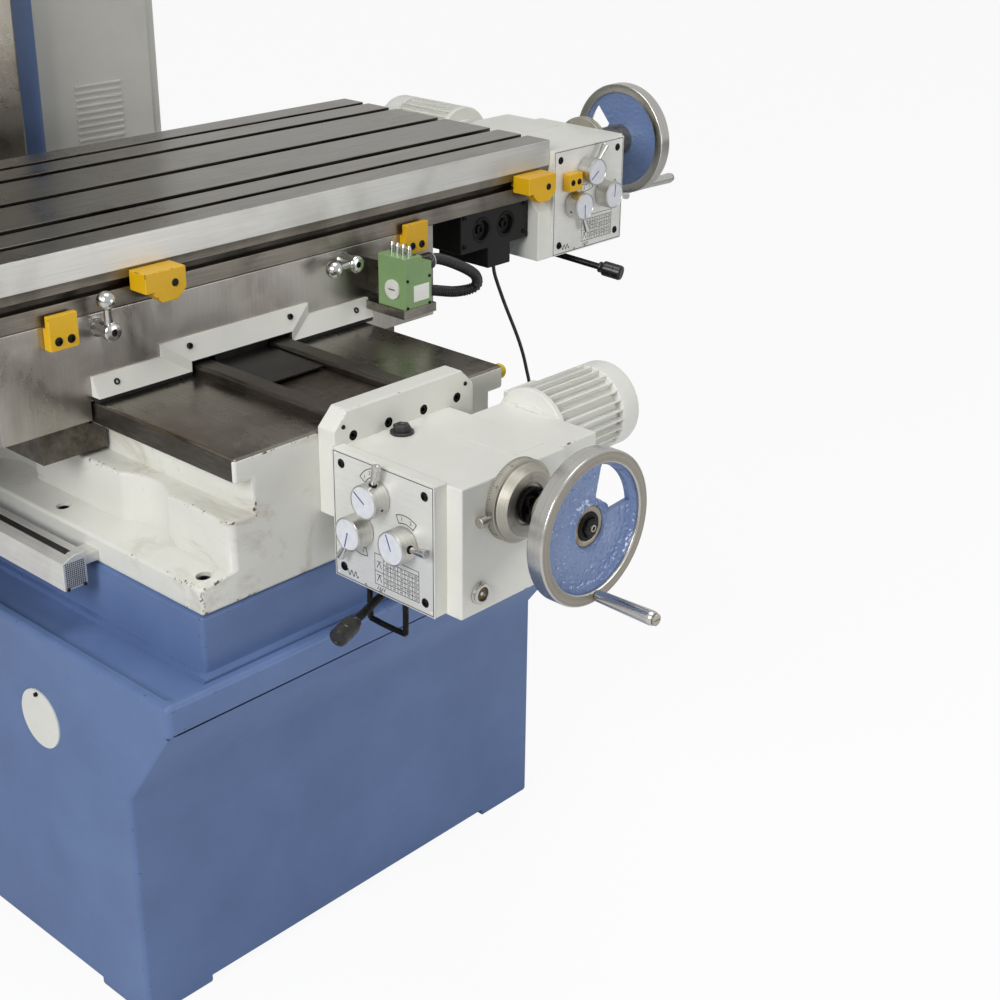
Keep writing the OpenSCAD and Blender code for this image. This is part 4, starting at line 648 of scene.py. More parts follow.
# The holes are black discs of painted shade set round the origin, and the scale's shape is laid over them
# front up
scale = new_shape()
grown(scale, holes, [((0, 0, 0), (0, 0, 1))], {"Width": 27.0, "Height": 34.0, "Columns": 10, "Rows": 13,
                                               "Hole radius": 0.95}, dark_rubber, 1)
bmesh.ops.transform(scale, verts=scale.verts, matrix=Matrix.Translation((-349, -330, 626))
                    @ Matrix.Rotation(math.radians(90), 4, "X"))
body = rounded("dro_scale", 0.8)
scale_body = bpy.data.meshes.new("scale_body")
body.to_mesh(scale_body)
body.free()
scale.from_mesh(scale_body)
screws(scale, [((-362, -330, 607), (0, -1, 0)), ((-336, -330, 607), (0, -1, 0))], 2.6, 2, 1)
block(scale, (-353, -316, 650.5), (-343.5, 316, 652.4), 0.5, 1)
fit(finished(scale, "readout_scale", [aluminium, dark_rubber]), "dro_scale")
reader = rounded("dro_reader", 0.8)
screws(reader, [((-356, y, 679), (0, 0, 1)) for y in (-38, 38)], 3.5, 3, 1)
fit(finished(reader, "readout_reader", [aluminium, black_steel]), "dro_reader")

# Cross feed unit and table feed unit: the same gearbox casting in white enamel, the second one turned
# by 90 degrees at the table's end. Machined joint faces leave thin bare lines, and the edges chip.

unit_places = {
    "y": Matrix.Translation((0.006, -0.546, 0.763)),
    "x": Matrix.Translation((0.644, -0.144, 0.969)) @ Matrix.Rotation(math.radians(90), 4, "Z"),
}
for unit, place in unit_places.items():
    node = unit + "_gearbox"
    box = rounded(node, 2.2)
    inverse = Matrix.Scale(1000, 4) @ place.inverted() @ Matrix.Scale(0.001, 4)
    bmesh.ops.transform(box, matrix=inverse, verts=box.verts)
    paint_where(box, lambda at, n: at.z < -139.5 and abs(at.x + 104) < 7, 1)
    # The counterbores of the flange's screws are painted black as painted shade in them, and two steel pins
    # place the flange
    for x in flange_screws if unit == "y" else ():
        paint_where(box, lambda at, n: -31.8 < at.y < -1 and math.hypot(at.x - x, at.z - 50) < 7.1, 1)
    pin_height = 66 if unit == "y" else -52
    for x in (-98, 127):
        turn(box, [(0, 1.6), (2.6, 1.6), (3, 1), (3, -1), (0, -1)], (x, -32, pin_height), (0, -1, 0),
             1, 20)
    # A blank enamelled plate on top
    block(box, (28, -212, 41), (86, -128, 41.5), 0.3, 2)
    fit(finished(box, node, [white_enamel, black_steel, white_enamel], place), node)

# Selector panels: 2 mm anodised aluminium, printed in black and held by four socket screws. The print
# is generic: a border, sectors with plain numbers by the knobs, a table of numbers and feed signs.


def stroke(shape, points, width, place, paint):
    """A printed line of the given width along (x, y) points, 0.1 mm thick, laid down by place."""
    for (x0, y0), (x1, y1) in zip(points, points[1:]):
        run = math.hypot(x1 - x0, y1 - y0)
        lay = place @ Matrix.Translation((x0, y0, 0)) @ Matrix.Rotation(
            math.atan2(y1 - y0, x1 - x0), 4, "Z")
        block(shape, (-width / 2, -width / 2, -0.1), (run + width / 2, width / 2, 0.1), 0, paint, lay)


figure_meshes = {}


def figures(shape, text, height, place, paint):
    """Printed figures, 0.1 mm thick, their middle at the origin of place."""
    if (text, height) not in figure_meshes:
        letters = bpy.data.curves.new("figures", "FONT")
        letters.body, letters.size, letters.extrude = text, height, 0.1
        letters.align_x, letters.align_y, letters.resolution_u = "CENTER", "CENTER", 2
        figure_meshes[text, height] = plain_mesh(placed("figures", letters))
    mesh = figure_meshes[text, height].copy()
    mesh.transform(place)
    pour(shape, mesh, paint)


def leftwards(x, y, z):
    """How print lies on a face that looks along -x: its x runs to the front, its y upwards."""
    return Matrix(((0, 0, -1, x), (-1, 0, 0, y), (0, 1, 0, z), (0, 0, 0, 1)))


# Nearly white and even, with a silky shine and little metal in it. The ink is flat and black
anodised = ground_metal("anodised_aluminium_plate", "F1F1ED", "E6E6E2", (30, 30, 260), 0.46, "D6D5CF",
                        0.3, 0.1, bare=0.3)
black_print = moulded("black_screen_print", "1C1C1E", "0F0F10", 0.003, 0.6)
# The panel's face and its lower back corner, 184 by 180 mm
panel_face, panel_back, panel_foot = -118.5, -32, -136
knob_places = [(84, 137), (53, 83), (132, 89)]
sectors = {"y": ((-15, -60), (165, 215), (-24, 34)), "x": ((150, 200), (-30, 20), (60, 110))}
sector_in, sector_out = 26, 37
feeds = ["30", "45", "60", "90", "120", "180", "240", "360", "480", "720", "15", "22"]
# Table of feeds: its outer lines, the pitch of its rows, its inner lines and its figures' middles
left, right, foot, row_pitch = 76, 156, 13, 6.2
columns, figure_at = (92, 105, 118, 131, 144), (98.5, 111.5, 124.5, 137.5, 150)
# Widths of the printed lines
thick, thin = 1.1, 0.85
for unit, place in unit_places.items():
    panel = new_shape()
    block(panel, (panel_face, -216, panel_foot), (panel_face + 2, panel_back, 44), 0.5)
    face = leftwards(panel_face, panel_back, panel_foot)
    stroke(panel, [(2.5, 2.5), (181.5, 2.5), (181.5, 177.5), (2.5, 177.5), (2.5, 2.5)], thick, face, 1)
    for (u, v), (low, high) in zip(knob_places, sectors[unit]):
        low, high = min(low, high), max(low, high)
        bow = [math.radians(low + (high - low) * k / 8) for k in range(9)]
        rim = [[(u + r * math.sin(a), v + r * math.cos(a)) for a in bow]
               for r in (sector_in, sector_out)]
        stroke(panel, rim[0] + rim[1][::-1] + rim[0][:1], thick, face, 1)
        between = (sector_in + sector_out) / 2
        for text, a in (("1", bow[2]), ("2", bow[6])):
            figures(panel, text, 7.5, face @ Matrix.Translation(
                (u + between * math.sin(a), v + between * math.cos(a), 0)), 1)
    for k in range(8):
        start = columns[0] if 0 < k < 7 else left
        stroke(panel, [(start, foot + row_pitch * k), (right, foot + row_pitch * k)], thin, face, 1)
    for x in (left, *columns, right):
        rows = 7 if x in (left, right) else 6
        stroke(panel, [(x, foot), (x, foot + row_pitch * rows)], thin, face, 1)
    stroke(panel, [(left, foot + row_pitch * 3), (columns[0], foot + row_pitch * 3)], thin, face, 1)
    for row in range(6):
        for column, x in enumerate(figure_at):
            figures(panel, feeds[(row * 5 + column) % len(feeds)], 5.2, face @ Matrix.Translation(
                (x, foot + 3 + row_pitch * row, 0)), 1)
    # Signs: arrows against a bar in the table's left column, a wave beside it, strokes and ticks below
    for v in (22, 41):
        stroke(panel, [(80, v - 4), (84, v + 4), (88, v - 4)], thick, face, 1)
        stroke(panel, [(80, v + 5), (88, v + 5)], 0.9, face, 1)
    wave = [(22 + 22 * k / 20, 12 + 4 * math.sin(k * math.pi / 3.4)) for k in range(21)]
    stroke(panel, wave, 1.2, face, 1)
    for x in (80, 84, 88, 92):
        stroke(panel, [(x, 6), (x + 2.4, 10)], thick, face, 1)
    for x in (58, 86):
        stroke(panel, [(x - 2, 3.5), (x, 6), (x + 2, 3.5)], 1, face, 1)
    # Rivets in the corners, and four socket screws on flat black discs that stand in for counterbores as
    # painted shade
    for u in (6, 178):
        for v in (6, 174):
            turn(panel, [(0, 0.9), (1.4, 0.7), (2.2, 0), (0, 0)],
                 (panel_face, panel_back - u, panel_foot + v), (-1, 0, 0), 0, 14)
    seats = [((panel_face + 0.2, panel_back - u, panel_foot + v), (-1, 0, 0))
             for u in (17, 167) for v in (17, 163)]
    for at, _ in seats:
        turn(panel, [(0, 0.25), (6.4, 0.25), (6.4, -0.2), (0, -0.2)], at, (-1, 0, 0), 1, 24)
    screws(panel, seats, 5.2, 1.9, 2)
    fit(finished(panel, unit + "_panel_plate", [anodised, black_print, black_steel], place),
        unit + "_panel")

# Sight glass of the cross unit: nickel-plated turned ring with a clear window over oil. Oil filler
# plug: moulded black nylon with a hexagon.


def turned_metal(name, light, dark, rough, groove=0.5, tarnish="6A655C", spots=0.3):
    """Turned steel: tool marks run round the axis, groove millimetres apart, with dull spots."""
    # Dull spots 22 mm across, 45 in a metre, and grooves drawn 0.2 mm deep, so that they show
    spots_in_m, groove_depth = 45, 0.0002
    metal = emptied(bpy.data.materials.new(name))
    place = add(metal, "TexCoord").outputs["Object"]
    radius = add(metal, "Attribute", {"attribute_name": "radius"})
    along = add(metal, "Attribute", {"attribute_name": "along"})
    track = add(metal, "CombineXYZ", None, {"X": radius.outputs["Fac"], "Y": along.outputs["Fac"]})
    marks = add(metal, "TexNoise", None, {"Vector": track.outputs["Vector"], "Scale": 1 / groove,
                                          "Detail": 3, "Roughness": 0.7})
    tone = add(metal, "ValToRGB", None, {"Fac": marks.outputs["Fac"]})
    for stop, position, tint in zip(tone.color_ramp.elements, (0.3, 0.7), (dark, light)):
        stop.position, stop.color = position, colour(tint)
    blots = add(metal, "TexNoise", None, {"Vector": place, "Scale": spots_in_m, "Detail": 4,
                                          "Roughness": 0.6})
    dulled = add(metal, "MapRange", None, {"Value": blots.outputs["Fac"], "From Min": 0.55,
                                           "From Max": 0.75, "To Max": spots})
    skin = add(metal, "MixRGB", None, {"Fac": dulled.outputs["Result"], "Color1": tone.outputs["Color"],
                                       "Color2": colour(tarnish)})
    gloss = add(metal, "MapRange", None, {"Value": blots.outputs["Fac"], "From Min": 0.3,
                                          "From Max": 0.75, "To Min": rough, "To Max": rough + 0.1})
    rings = add(metal, "Bump", None, {"Height": marks.outputs["Fac"], "Strength": 0.12,
                                      "Distance": groove_depth})
    shader = add(metal, "BsdfPrincipled", None, {"Base Color": skin.outputs["Color"], "Metallic": 1.0,
                                                 "Roughness": gloss.outputs["Result"],
                                                 "Normal": rings.outputs["Normal"]})
    add(metal, "OutputMaterial", None, {"Surface": shader.outputs["BSDF"]})
    return metal


# The plating is bright and faintly warm. Old oil behind the glass is brown and very glossy
nickel = turned_metal("nickel_plated_steel", "D9D8D4", "B9B8B4", 0.2)
oil = moulded("amber_oil_behind_glass", "6B5322", "4A3A1A", 0.006, 0.12)
glass_at = ((-65, -241, -109), (0, -1, 0))
glass = new_shape()
turn(glass, [(9.5, 4.6), (9.5, 7.4), (10.3, 8), (13, 8), (13.8, 7), (13.8, 5.4), (13, 5), (13, 4.2),
             (14.4, 3.6), (15, 2.8), (15, 0), (9.5, 0)], *glass_at, 0, 64, True)
turn(glass, [(0, 5.2), (5, 5), (9.6, 4.4), (9.6, 0), (0, 0)], *glass_at, 1)
turn(glass, [(0, 5.6), (2.4, 5.5), (2.8, 5), (0, 5)], *glass_at, 0, 24)
turn(glass, [(0, 0), (12, 0), (12, -10), (0, -10)], *glass_at)
fit(finished(glass, "oil_sight_glass", [nickel, oil], unit_places["y"]), "y_sight_glass")

# Charcoal black with a soft shine
black_nylon = moulded("moulded_black_nylon", "2C2C2D", "19191A", 0.005, 0.42)
oil_plug = new_shape()
turn(oil_plug, [(0, -12), (8, -12), (8, 0), (15.4, 0), (16, 0.8), (16, 3.2), (15, 4), (0, 4)],
     (-16, -55, 41))
turn(oil_plug, [(0, 0), (12, 0), (12, 7.4), (10.4, 9), (6.5, 9), (5.5, 7.5), (0, 7.5)],
     (-16, -55, 44.2), sides=6)
fit(finished(oil_plug, "oil_filler_plug", [black_nylon], unit_places["y"]), "y_oil_plug")

# Selector knobs: satin nickel-plated bodies 46 mm across with a white disc, a blue pointer line and a
# small flared rod to turn them by. Each turns on its own stem.

# Satin nickel shines softly in rings, the polished rod sharply. Both lacquers are smooth and even
satin = turned_metal("satin_nickel", "D8D7D2", "BDBCB7", 0.26, 0.9, "A5A39C", 0.1)
polished = turned_metal("polished_steel", "DAD9D5", "C6C5C1", 0.16, 1.6, "A9A79F", 0.06)
white_disc = moulded("white_lacquered_disc", "E9EBF0", "DCDFE6", 0.01, 0.35, 0.05)
blue_line = moulded("blue_lacquer", "27359E", "1E2A86", 0.004, 0.4)
# How the rods and the pointer lines stand, in degrees from upright
rod_turns = {"y": (15, -148, 83), "x": (40, 155, 103)}
line_turns = {"y": (-57, -164, -23), "x": (-125, 178, 4)}
for unit, place in unit_places.items():
    for k, (u, v) in enumerate(knob_places):
        knob = new_shape()
        hub = (panel_face - 0.3, panel_back - u, panel_foot + v)
        turn(knob, [(0, 25), (20.8, 25), (21.3, 26), (22.2, 26), (23, 25), (23, 1), (22.2, 0), (6, 0),
                    (6, -15.8), (0, -15.8)], hub, (-1, 0, 0), 0, 72)
        turn(knob, [(0, 25.7), (20, 25.7), (20.7, 25.3), (20.7, 24.8), (0, 24.8)], hub, (-1, 0, 0), 1)
        face = leftwards(hub[0] - 25.75, hub[1], hub[2])
        pointer = math.radians(line_turns[unit][k])
        aim = (math.sin(pointer), math.cos(pointer))
        stroke(knob, [(-2 * aim[0], -2 * aim[1]), (18.5 * aim[0], 18.5 * aim[1])], 1.8, face, 2)
        # The rod stands in a blackened collar, and a set screw sits a little past square to it
        lean = math.radians(rod_turns[unit][k])
        out = (0, -math.sin(lean), math.cos(lean))
        seat = (hub[0] - 13, hub[1], hub[2])
        turn(knob, [(0, 23.4), (5.6, 23.4), (5.6, 20), (0, 20)], seat, out, 3, 28)
        turn(knob, [(0, 20), (3.5, 20), (3.7, 24), (6.3, 49.5), (6.1, 51.3), (5.2, 52), (2.2, 52),
                    (2.2, 50.5), (0, 50.5)], seat, out, 4, 32)
        side = math.radians(rod_turns[unit][k] + 95)
        turn(knob, [(0, 23.15), (2, 23.15), (2, 21), (0, 21)], seat,
             (0, -math.sin(side), math.cos(side)), 3, 16)
        knob_finishes = [satin, white_disc, blue_line, black_steel, polished]
        fit(finished(knob, f"{unit}_selector_knob_{k + 1}", knob_finishes, place),
            f"{unit}_knob_{k + 1}")

# Feed levers: blackened steel boss and sloping arm under the gearbox, with a moulded black grip whose
# collar and end cap show a fine seam.

# The grip is black and glossier than the nylon, with a coarse skin
grip_plastic = moulded("moulded_black_grip", "242323", "151414", 0.003, 0.28, 0.3)
for unit, turn_by in (("y", 12), ("x", 21)):
    lever = new_shape()
    turn(lever, [(0, -16.3), (14, -16.3), (15, -15.3), (15, -1.3), (14, -0.3), (8, -0.3), (8, 30),
                 (0, 30)], (-50, -85, -138))
    arm_at = (Matrix.Translation((-50, -85, -146.3)) @ Matrix.Rotation(math.radians(turn_by), 4, "Z")
              @ Matrix.Rotation(math.radians(-100), 4, "Y"))
    run = arm_at.to_3x3() @ Vector((0, 0, 1))
    turn(lever, [(0, 0), (5.5, 0), (5.5, 112), (0, 112)], arm_at.translation, run)
    turn(lever, [(0, 107), (8.6, 107), (9.6, 108.5), (9.6, 111), (8.8, 112), (9.4, 113), (12.4, 116),
                 (13, 118), (13, 133), (12.4, 133.6), (12.4, 134.2), (13, 134.8), (13, 146),
                 (11.6, 149.4), (10.6, 150), (7, 150), (6.4, 149.2), (0, 149.2)],
         arm_at.translation, run, 1, 28)
    fit(finished(lever, unit + "_feed_lever_arm", [black_steel, grip_plastic], unit_places[unit], 20),
        unit + "_feed_lever")

# Graduated dials: turned steel rings 110 mm across with 100 engraved divisions and plain numbers, and
# a knurled screw that locks each. The jaws of the clutch behind the wheel are blackened.

graduations, given = new_tree("dial_graduations", {
    "Radius": "Float", "Divisions": "Int", "Length": "Float", "Width": "Float"})
line_thickness = 0.3
circle = add(graduations, "GeometryNodeMeshCircle", None, {"Vertices": given["Divisions"],
                                                           "Radius": given["Radius"]})
size = add(graduations, "CombineXYZ", None, {"X": line_thickness, "Y": given["Width"],
                                             "Z": given["Length"]})
line = add(graduations, "GeometryNodeMeshCube", None, {"Size": size.outputs["Vector"]})
spot = add(graduations, "GeometryNodeInputPosition")
outward = add(graduations, "FunctionNodeAlignRotationToVector", {"axis": "X", "pivot_axis": "Z"},
              {"Vector": spot.outputs["Position"]})
ring = add(graduations, "GeometryNodeInstanceOnPoints", None, {
    "Points": circle.outputs["Mesh"], "Instance": line.outputs["Mesh"],
    "Rotation": outward.outputs["Rotation"]})
end_tree(graduations, ring.outputs["Instances"], given["Finish"])

# Satin, slightly yellow steel with dull spots where hands and oil have been
dial_steel = turned_metal("satin_turned_steel", "C6C2B7", "A29E93", 0.44, 0.8, "6E695F", 0.4)
# Place of the dial's back before the unit's flange, in metres, and its sizes in millimetres
dial_back, dial_radius, line_width = -0.2413, 55.0, 0.45
for unit, place in unit_places.items():
    dial = new_shape()
    # The lines are drawn round Z at the origin, and the dial is built there too, front upwards
    for divisions, length, low in ((100, 4.0, 2.4), (20, 6.5, 3.6)):
        count = len(dial.verts)
        grown(dial, graduations, [((0, 0, 0), (0, 0, 1))], {
            "Radius": dial_radius, "Divisions": divisions, "Length": length, "Width": line_width},
            black_print, 1)
        dial.verts.ensure_lookup_table()
        for corner in dial.verts[count:]:
            corner.co.z += low
    upright_print = Matrix(((0, 0, 1, 0), (1, 0, 0, 0), (0, 1, 0, 0), (0, 0, 0, 1)))
    for k in range(10):
        figures(dial, str(k * 10), 4.4, Matrix.Rotation(2 * math.pi * k / 10, 4, "Z")
                @ Matrix.Translation((dial_radius, 0, 9.6)) @ upright_print, 1)
    turn(dial, [(20.1, 0), (54.2, 0), (55, 0.8), (55, 13), (54, 14), (50.5, 14.2), (50, 15), (44, 24.6),
                (43, 26), (30, 26), (28, 25), (28, 22), (20.1, 22)], sides=128, hollow=True)
    turn(dial, [(53.5, 12.6), (55.3, 12.6), (55.3, 12.1), (53.5, 12.1)], sides=128, hollow=True)
    # Lock screw with its knurled head, at the side of the dial
    turn(dial, [(0, 0), (4, 0), (4, 7.5), (6.2, 8), (7, 9), (7, 19), (6, 20), (0, 20)], (-54, -8, 7),
         (-1, 0, 0), 0, 30)
    upright = Matrix.Translation((0, dial_back, 0)) @ Matrix.Rotation(math.radians(90), 4, "X")
    fit(finished(dial, unit + "_graduated_dial", [dial_steel, black_print], place @ upright),
        unit + "_dial")

# Handwheels: cast iron, 200 mm across. The rim is turned bright, the dished web with its window is in
# hammered blue enamel, and the bare hub ring holds the blackened clutch jaws.

# The rim's outside is bright, its face duller and painted darker with broad rings, a painted reflection of
# dark surroundings. Hammertone is glossy and dimpled at
# 6 mm, and the hub's turned iron is brown with oil
bright_rim = turned_metal("bright_turned_iron", "D6D4CF", "B9B7B1", 0.2, 0.7, "98958D", 0.05)
rim_front_painted_reflection = turned_metal("turned_rim_front_with_painted_reflection", "A7A298", "8D887E", 0.3, 0.9, "7A756B", 0.2)
hammered_blue = enamel("hammered_blue_enamel", "7C95C4", "6B84B6", "3D4757", 2.4, 0.006, 0.14, 0.2,
                       0.7, 0.9)
hub_iron = turned_metal("oil_stained_hub_iron", "ADA596", "8A8172", 0.38, 1.2, "4E4231", 0.85)
wheel_finishes = [hammered_blue, bright_rim, dial_steel, black_steel, rim_front_painted_reflection, hub_iron]
# Place of the wheel's back before the unit's flange, in metres, and the pin's radius in millimetres
wheel_back, pin_radius = -0.349, 92
for unit, wheel_at, handle_at in (("y", 0, -86), ("x", -28, -114)):
    web = new_shape()
    turn(web, [(26.5, -9), (26.5, -1), (29, 2.2), (33, -0.5), (40, -2), (74, -2), (80, -1), (83, 2),
               (84.6, 8), (84.6, -9)], sides=144, hollow=True)
    # The window's two bows: radius, first and last angle. Its corners are rounded by 6 mm
    window = new_shape()
    corners = []
    for radius, low, high in ((79, 8, 74), (36, 12, 70)):
        row = [math.radians(low + (high - low) * k / 14) for k in range(15)]
        corners.append([(radius * math.cos(a), radius * math.sin(a)) for a in row])
    outline = corners[0] + corners[1][::-1]
    low = [window.verts.new((x, y, -20)) for x, y in outline]
    high = [window.verts.new((x, y, 20)) for x, y in outline]
    window.faces.new(low[::-1])
    window.faces.new(high)
    for k in range(len(low)):
        window.faces.new((low[k - 1], low[k], high[k], high[k - 1]))
    upright_edges = [e for e in window.edges if abs((e.verts[0].co - e.verts[1].co).z) > 30
                     and e.calc_face_angle(0) > 0.6]
    bmesh.ops.bevel(window, geom=upright_edges, offset=6, offset_type="OFFSET", segments=5, profile=0.5,
                    affect="EDGES")
    solid, tool = finished(web, "web", []), finished(window, "window", [])
    cut = solid.modifiers.new("window", "BOOLEAN")
    cut.object, cut.operation, cut.solver = tool, "DIFFERENCE", "EXACT"
    wheel = new_shape()
    wheel.from_mesh(plain_mesh(solid))
    bpy.data.objects.remove(tool)
    bmesh.ops.scale(wheel, vec=(1000, 1000, 1000), verts=wheel.verts)
    bmesh.ops.translate(wheel, vec=(0, 0, 14), verts=wheel.verts)
    bmesh.ops.rotate(wheel, cent=(0, 0, 0), matrix=Matrix.Rotation(math.radians(wheel_at), 3, "Z"),
                     verts=wheel.verts)
    # Rim, then hub
    turn(wheel, [(84, 2), (84, 23), (84.5, 24), (86, 25), (98.2, 25), (99.6, 24), (100, 22.6),
                 (100, 2.4), (99.4, 1), (98, 0), (86, 0), (84.5, 0.7)], paint=1, sides=144, hollow=True)
    # The rim's front face takes the darker finish, a painted reflection of dark surroundings
    paint_where(wheel, lambda at, n: at.z > 24.5, 4)
    turn(wheel, [(12.05, 11), (12.05, -57), (26, -57), (27, -56), (27, 10.4), (25.8, 12.2), (24, 12.4),
                 (22, 12), (19.5, 12.4), (19, 11)], paint=5, sides=72, hollow=True)
    # Four clutch jaws at the back, and two keys in the bore
    for k in range(4):
        block(wheel, (-5, 19, -70), (5, 26, -57.5), 0.8, 3, Matrix.Rotation(math.pi / 2 * k, 4, "Z")
              @ Matrix.Translation((0, -4, 5)))
    for k in range(2):
        block(wheel, (-4.2, 12.4, 3), (4.2, 19.5, 12.2), 0.4, 3,
              Matrix.Rotation(math.pi * k + 0.6, 4, "Z"))
    # The handle's pin has a slotted head, its slot a black stroke of painted shade, and the handle turns on
    # it
    spin = math.radians(handle_at)
    pin = (pin_radius * math.cos(spin), pin_radius * math.sin(spin))
    turn(wheel, [(0, 24), (5, 24), (5, 116.2), (7.1, 116.2), (7.7, 116.8), (7.7, 118), (7.1, 118.6),
                 (0, 118.6)], (*pin, 0), paint=2, sides=32)
    stroke(wheel, [(-4.6, 0), (4.6, 0)], 1.2, Matrix.Translation((*pin, 118.55)), 3)
    lay = (unit_places[unit] @ Matrix.Translation((0, wheel_back, 0))
           @ Matrix.Rotation(math.radians(90), 4, "X"))
    fit(finished(wheel, unit + "_feed_handwheel", wheel_finishes, lay, 35), unit + "_handwheel")
    grip = new_shape()
    turn(grip, [(5.05, 0), (6.9, 0), (7.5, 0.8), (7.7, 2.4), (9.5, 82), (9.6, 84.5), (9, 88),
                (7.8, 89.7), (5.05, 89.7)], (*pin, 25.3), sides=64, hollow=True)
    fit(finished(grip, unit + "_turning_handle", [polished], lay), unit + "_handle")

# Feed motors and spindle motor: cast aluminium bodies in white enamel with ribs for cooling, a pressed
# cowl over the fan and a terminal box. The ribs of all three come from one tree.

ribs, given = new_tree("cooling_ribs", {
    "Radius": "Float", "Count": "Int", "Height": "Float", "Thickness": "Float", "Length": "Float"})
# As shares of the rib: its tip's thickness, and how far out the tip stands
tip_share, tip_step = 0.62, 0.45
circle = add(ribs, "GeometryNodeMeshCircle", None, {"Vertices": given["Count"],
                                                    "Radius": given["Radius"]})
root_size = add(ribs, "CombineXYZ", None, {"X": given["Height"], "Y": given["Thickness"],
                                           "Z": given["Length"]})
tip_t = add(ribs, "Math", {"operation": "MULTIPLY"}, {0: given["Thickness"], 1: tip_share})
tip_size = add(ribs, "CombineXYZ", None, {"X": given["Height"], "Y": tip_t.outputs["Value"],
                                          "Z": given["Length"]})
root = add(ribs, "GeometryNodeMeshCube", None, {"Size": root_size.outputs["Vector"]})
tip = add(ribs, "GeometryNodeMeshCube", None, {"Size": tip_size.outputs["Vector"]})
out_by = add(ribs, "Math", {"operation": "MULTIPLY"}, {0: given["Height"], 1: tip_step})
out_to = add(ribs, "CombineXYZ", None, {"X": out_by.outputs["Value"]})
tip_out = add(ribs, "GeometryNodeTransform", None, {"Geometry": tip.outputs["Mesh"],
                                                    "Translation": out_to.outputs["Vector"]})
rib = add(ribs, "GeometryNodeJoinGeometry")
ribs.links.new(root.outputs["Mesh"], rib.inputs["Geometry"])
ribs.links.new(tip_out.outputs["Geometry"], rib.inputs["Geometry"])
spot = add(ribs, "GeometryNodeInputPosition")
outward = add(ribs, "FunctionNodeAlignRotationToVector", {"axis": "X", "pivot_axis": "Z"},
              {"Vector": spot.outputs["Position"]})
ring = add(ribs, "GeometryNodeInstanceOnPoints", None, {
    "Points": circle.outputs["Mesh"], "Instance": rib.outputs["Geometry"],
    "Rotation": outward.outputs["Rotation"]})
end_tree(ribs, ring.outputs["Instances"], given["Finish"])

# White with a dull gloss, and bright metal where it is chipped
white_aluminium = enamel("white_cast_aluminium_enamel", "F1F1EC", "E4E4DD", "8A8780", 0.2, 0.003, 0.4,
                         0.25, 0.7)
for unit, place in unit_places.items():
    # Built along Z from the gearbox outwards, then laid along the unit's x axis
    motor = new_shape()
    grown(motor, ribs, [((0, 0, 0), (0, 0, 1))], {
        "Radius": 54.0, "Count": 28, "Height": 8.4, "Thickness": 3.4, "Length": 119.0}, white_aluminium)
    bmesh.ops.translate(motor, vec=(0, 0, 69.5), verts=motor.verts)
    turn(motor, [(0, -7), (39.5, -7), (40, -6.5), (40, 0), (60.5, 0), (62, 1.5), (62, 8.5), (60.5, 10),
                 (52, 10), (52, 129), (60, 129), (61.4, 130), (62, 132), (62, 160), (60.5, 164.5),
                 (57, 166), (52, 166), (50, 174), (46, 174), (45, 168), (0, 168)], sides=96)
    # Guard of the fan: five rings and a cross
    for k in range(5):
        turn(motor, [(8 + 8 * k, 168.2), (11 + 8 * k, 168.2), (11 + 8 * k, 171.5), (9.5 + 8 * k, 172.5),
                     (8 + 8 * k, 171.5)], sides=64, hollow=True)
    for k in range(4):
        block(motor, (6, -1.5, 168), (47, 1.5, 172), 0.3, 0, Matrix.Rotation(math.pi / 2 * k, 4, "Z"))
    block(motor, (-30, 50, 35), (30, 82, 100), 2.5)
    block(motor, (-28, 72, 37), (28, 74, 98), 0.3, 1)
    screws(motor, [((x, 80, z), (0, 1, 0)) for x in (-24, 24) for z in (41, 94)], 3.2, 2, 1)
    lay = (place @ Matrix.Translation((0.1695, -0.114, 0.005))
           @ Matrix.Rotation(math.radians(90), 4, "Y"))
    fit(finished(motor, unit + "_feed_motor", [white_aluminium, black_steel], lay), unit + "_motor")
big = new_shape()
grown(big, ribs, [((0, 0, 0), (0, 0, 1))], {
    "Radius": 107.0, "Count": 40, "Height": 15.4, "Thickness": 3.6, "Length": 176.0}, white_aluminium)
bmesh.ops.translate(big, vec=(0, 0, 112), verts=big.verts)
turn(big, [(0, 0), (123, 0), (125, 2), (125, 22), (123, 24), (105, 24), (105, 200), (113, 200),
           (115, 202), (115, 250), (112, 257), (106, 260), (0, 260)], sides=96)
block(big, (100, -60, 50), (155, 60, 150), 4)
block(big, (141, -58, 52), (143, 58, 148), 0.3, 1)
screws(big, [((153, y, z), (1, 0, 0)) for y in (-50, 50) for z in (60, 140)], 4, 2, 1)
# Air slots in the cowl's lid, drawn as black rings of painted shade
for k in range(8):
    turn(big, [(12 + 10 * k, 260), (15 + 10 * k, 260), (15 + 10 * k, 259.4), (12 + 10 * k, 259.4)],
         paint=1, sides=64, hollow=True)
fit(finished(big, "spindle_drive_motor", [white_aluminium, black_steel],
             Matrix.Translation((0, 0.25, 1.89))), "spindle_motor")

# Feed screws: turned steel, rolled trapezoidal thread of 10 mm lead on the long part, plain journals.


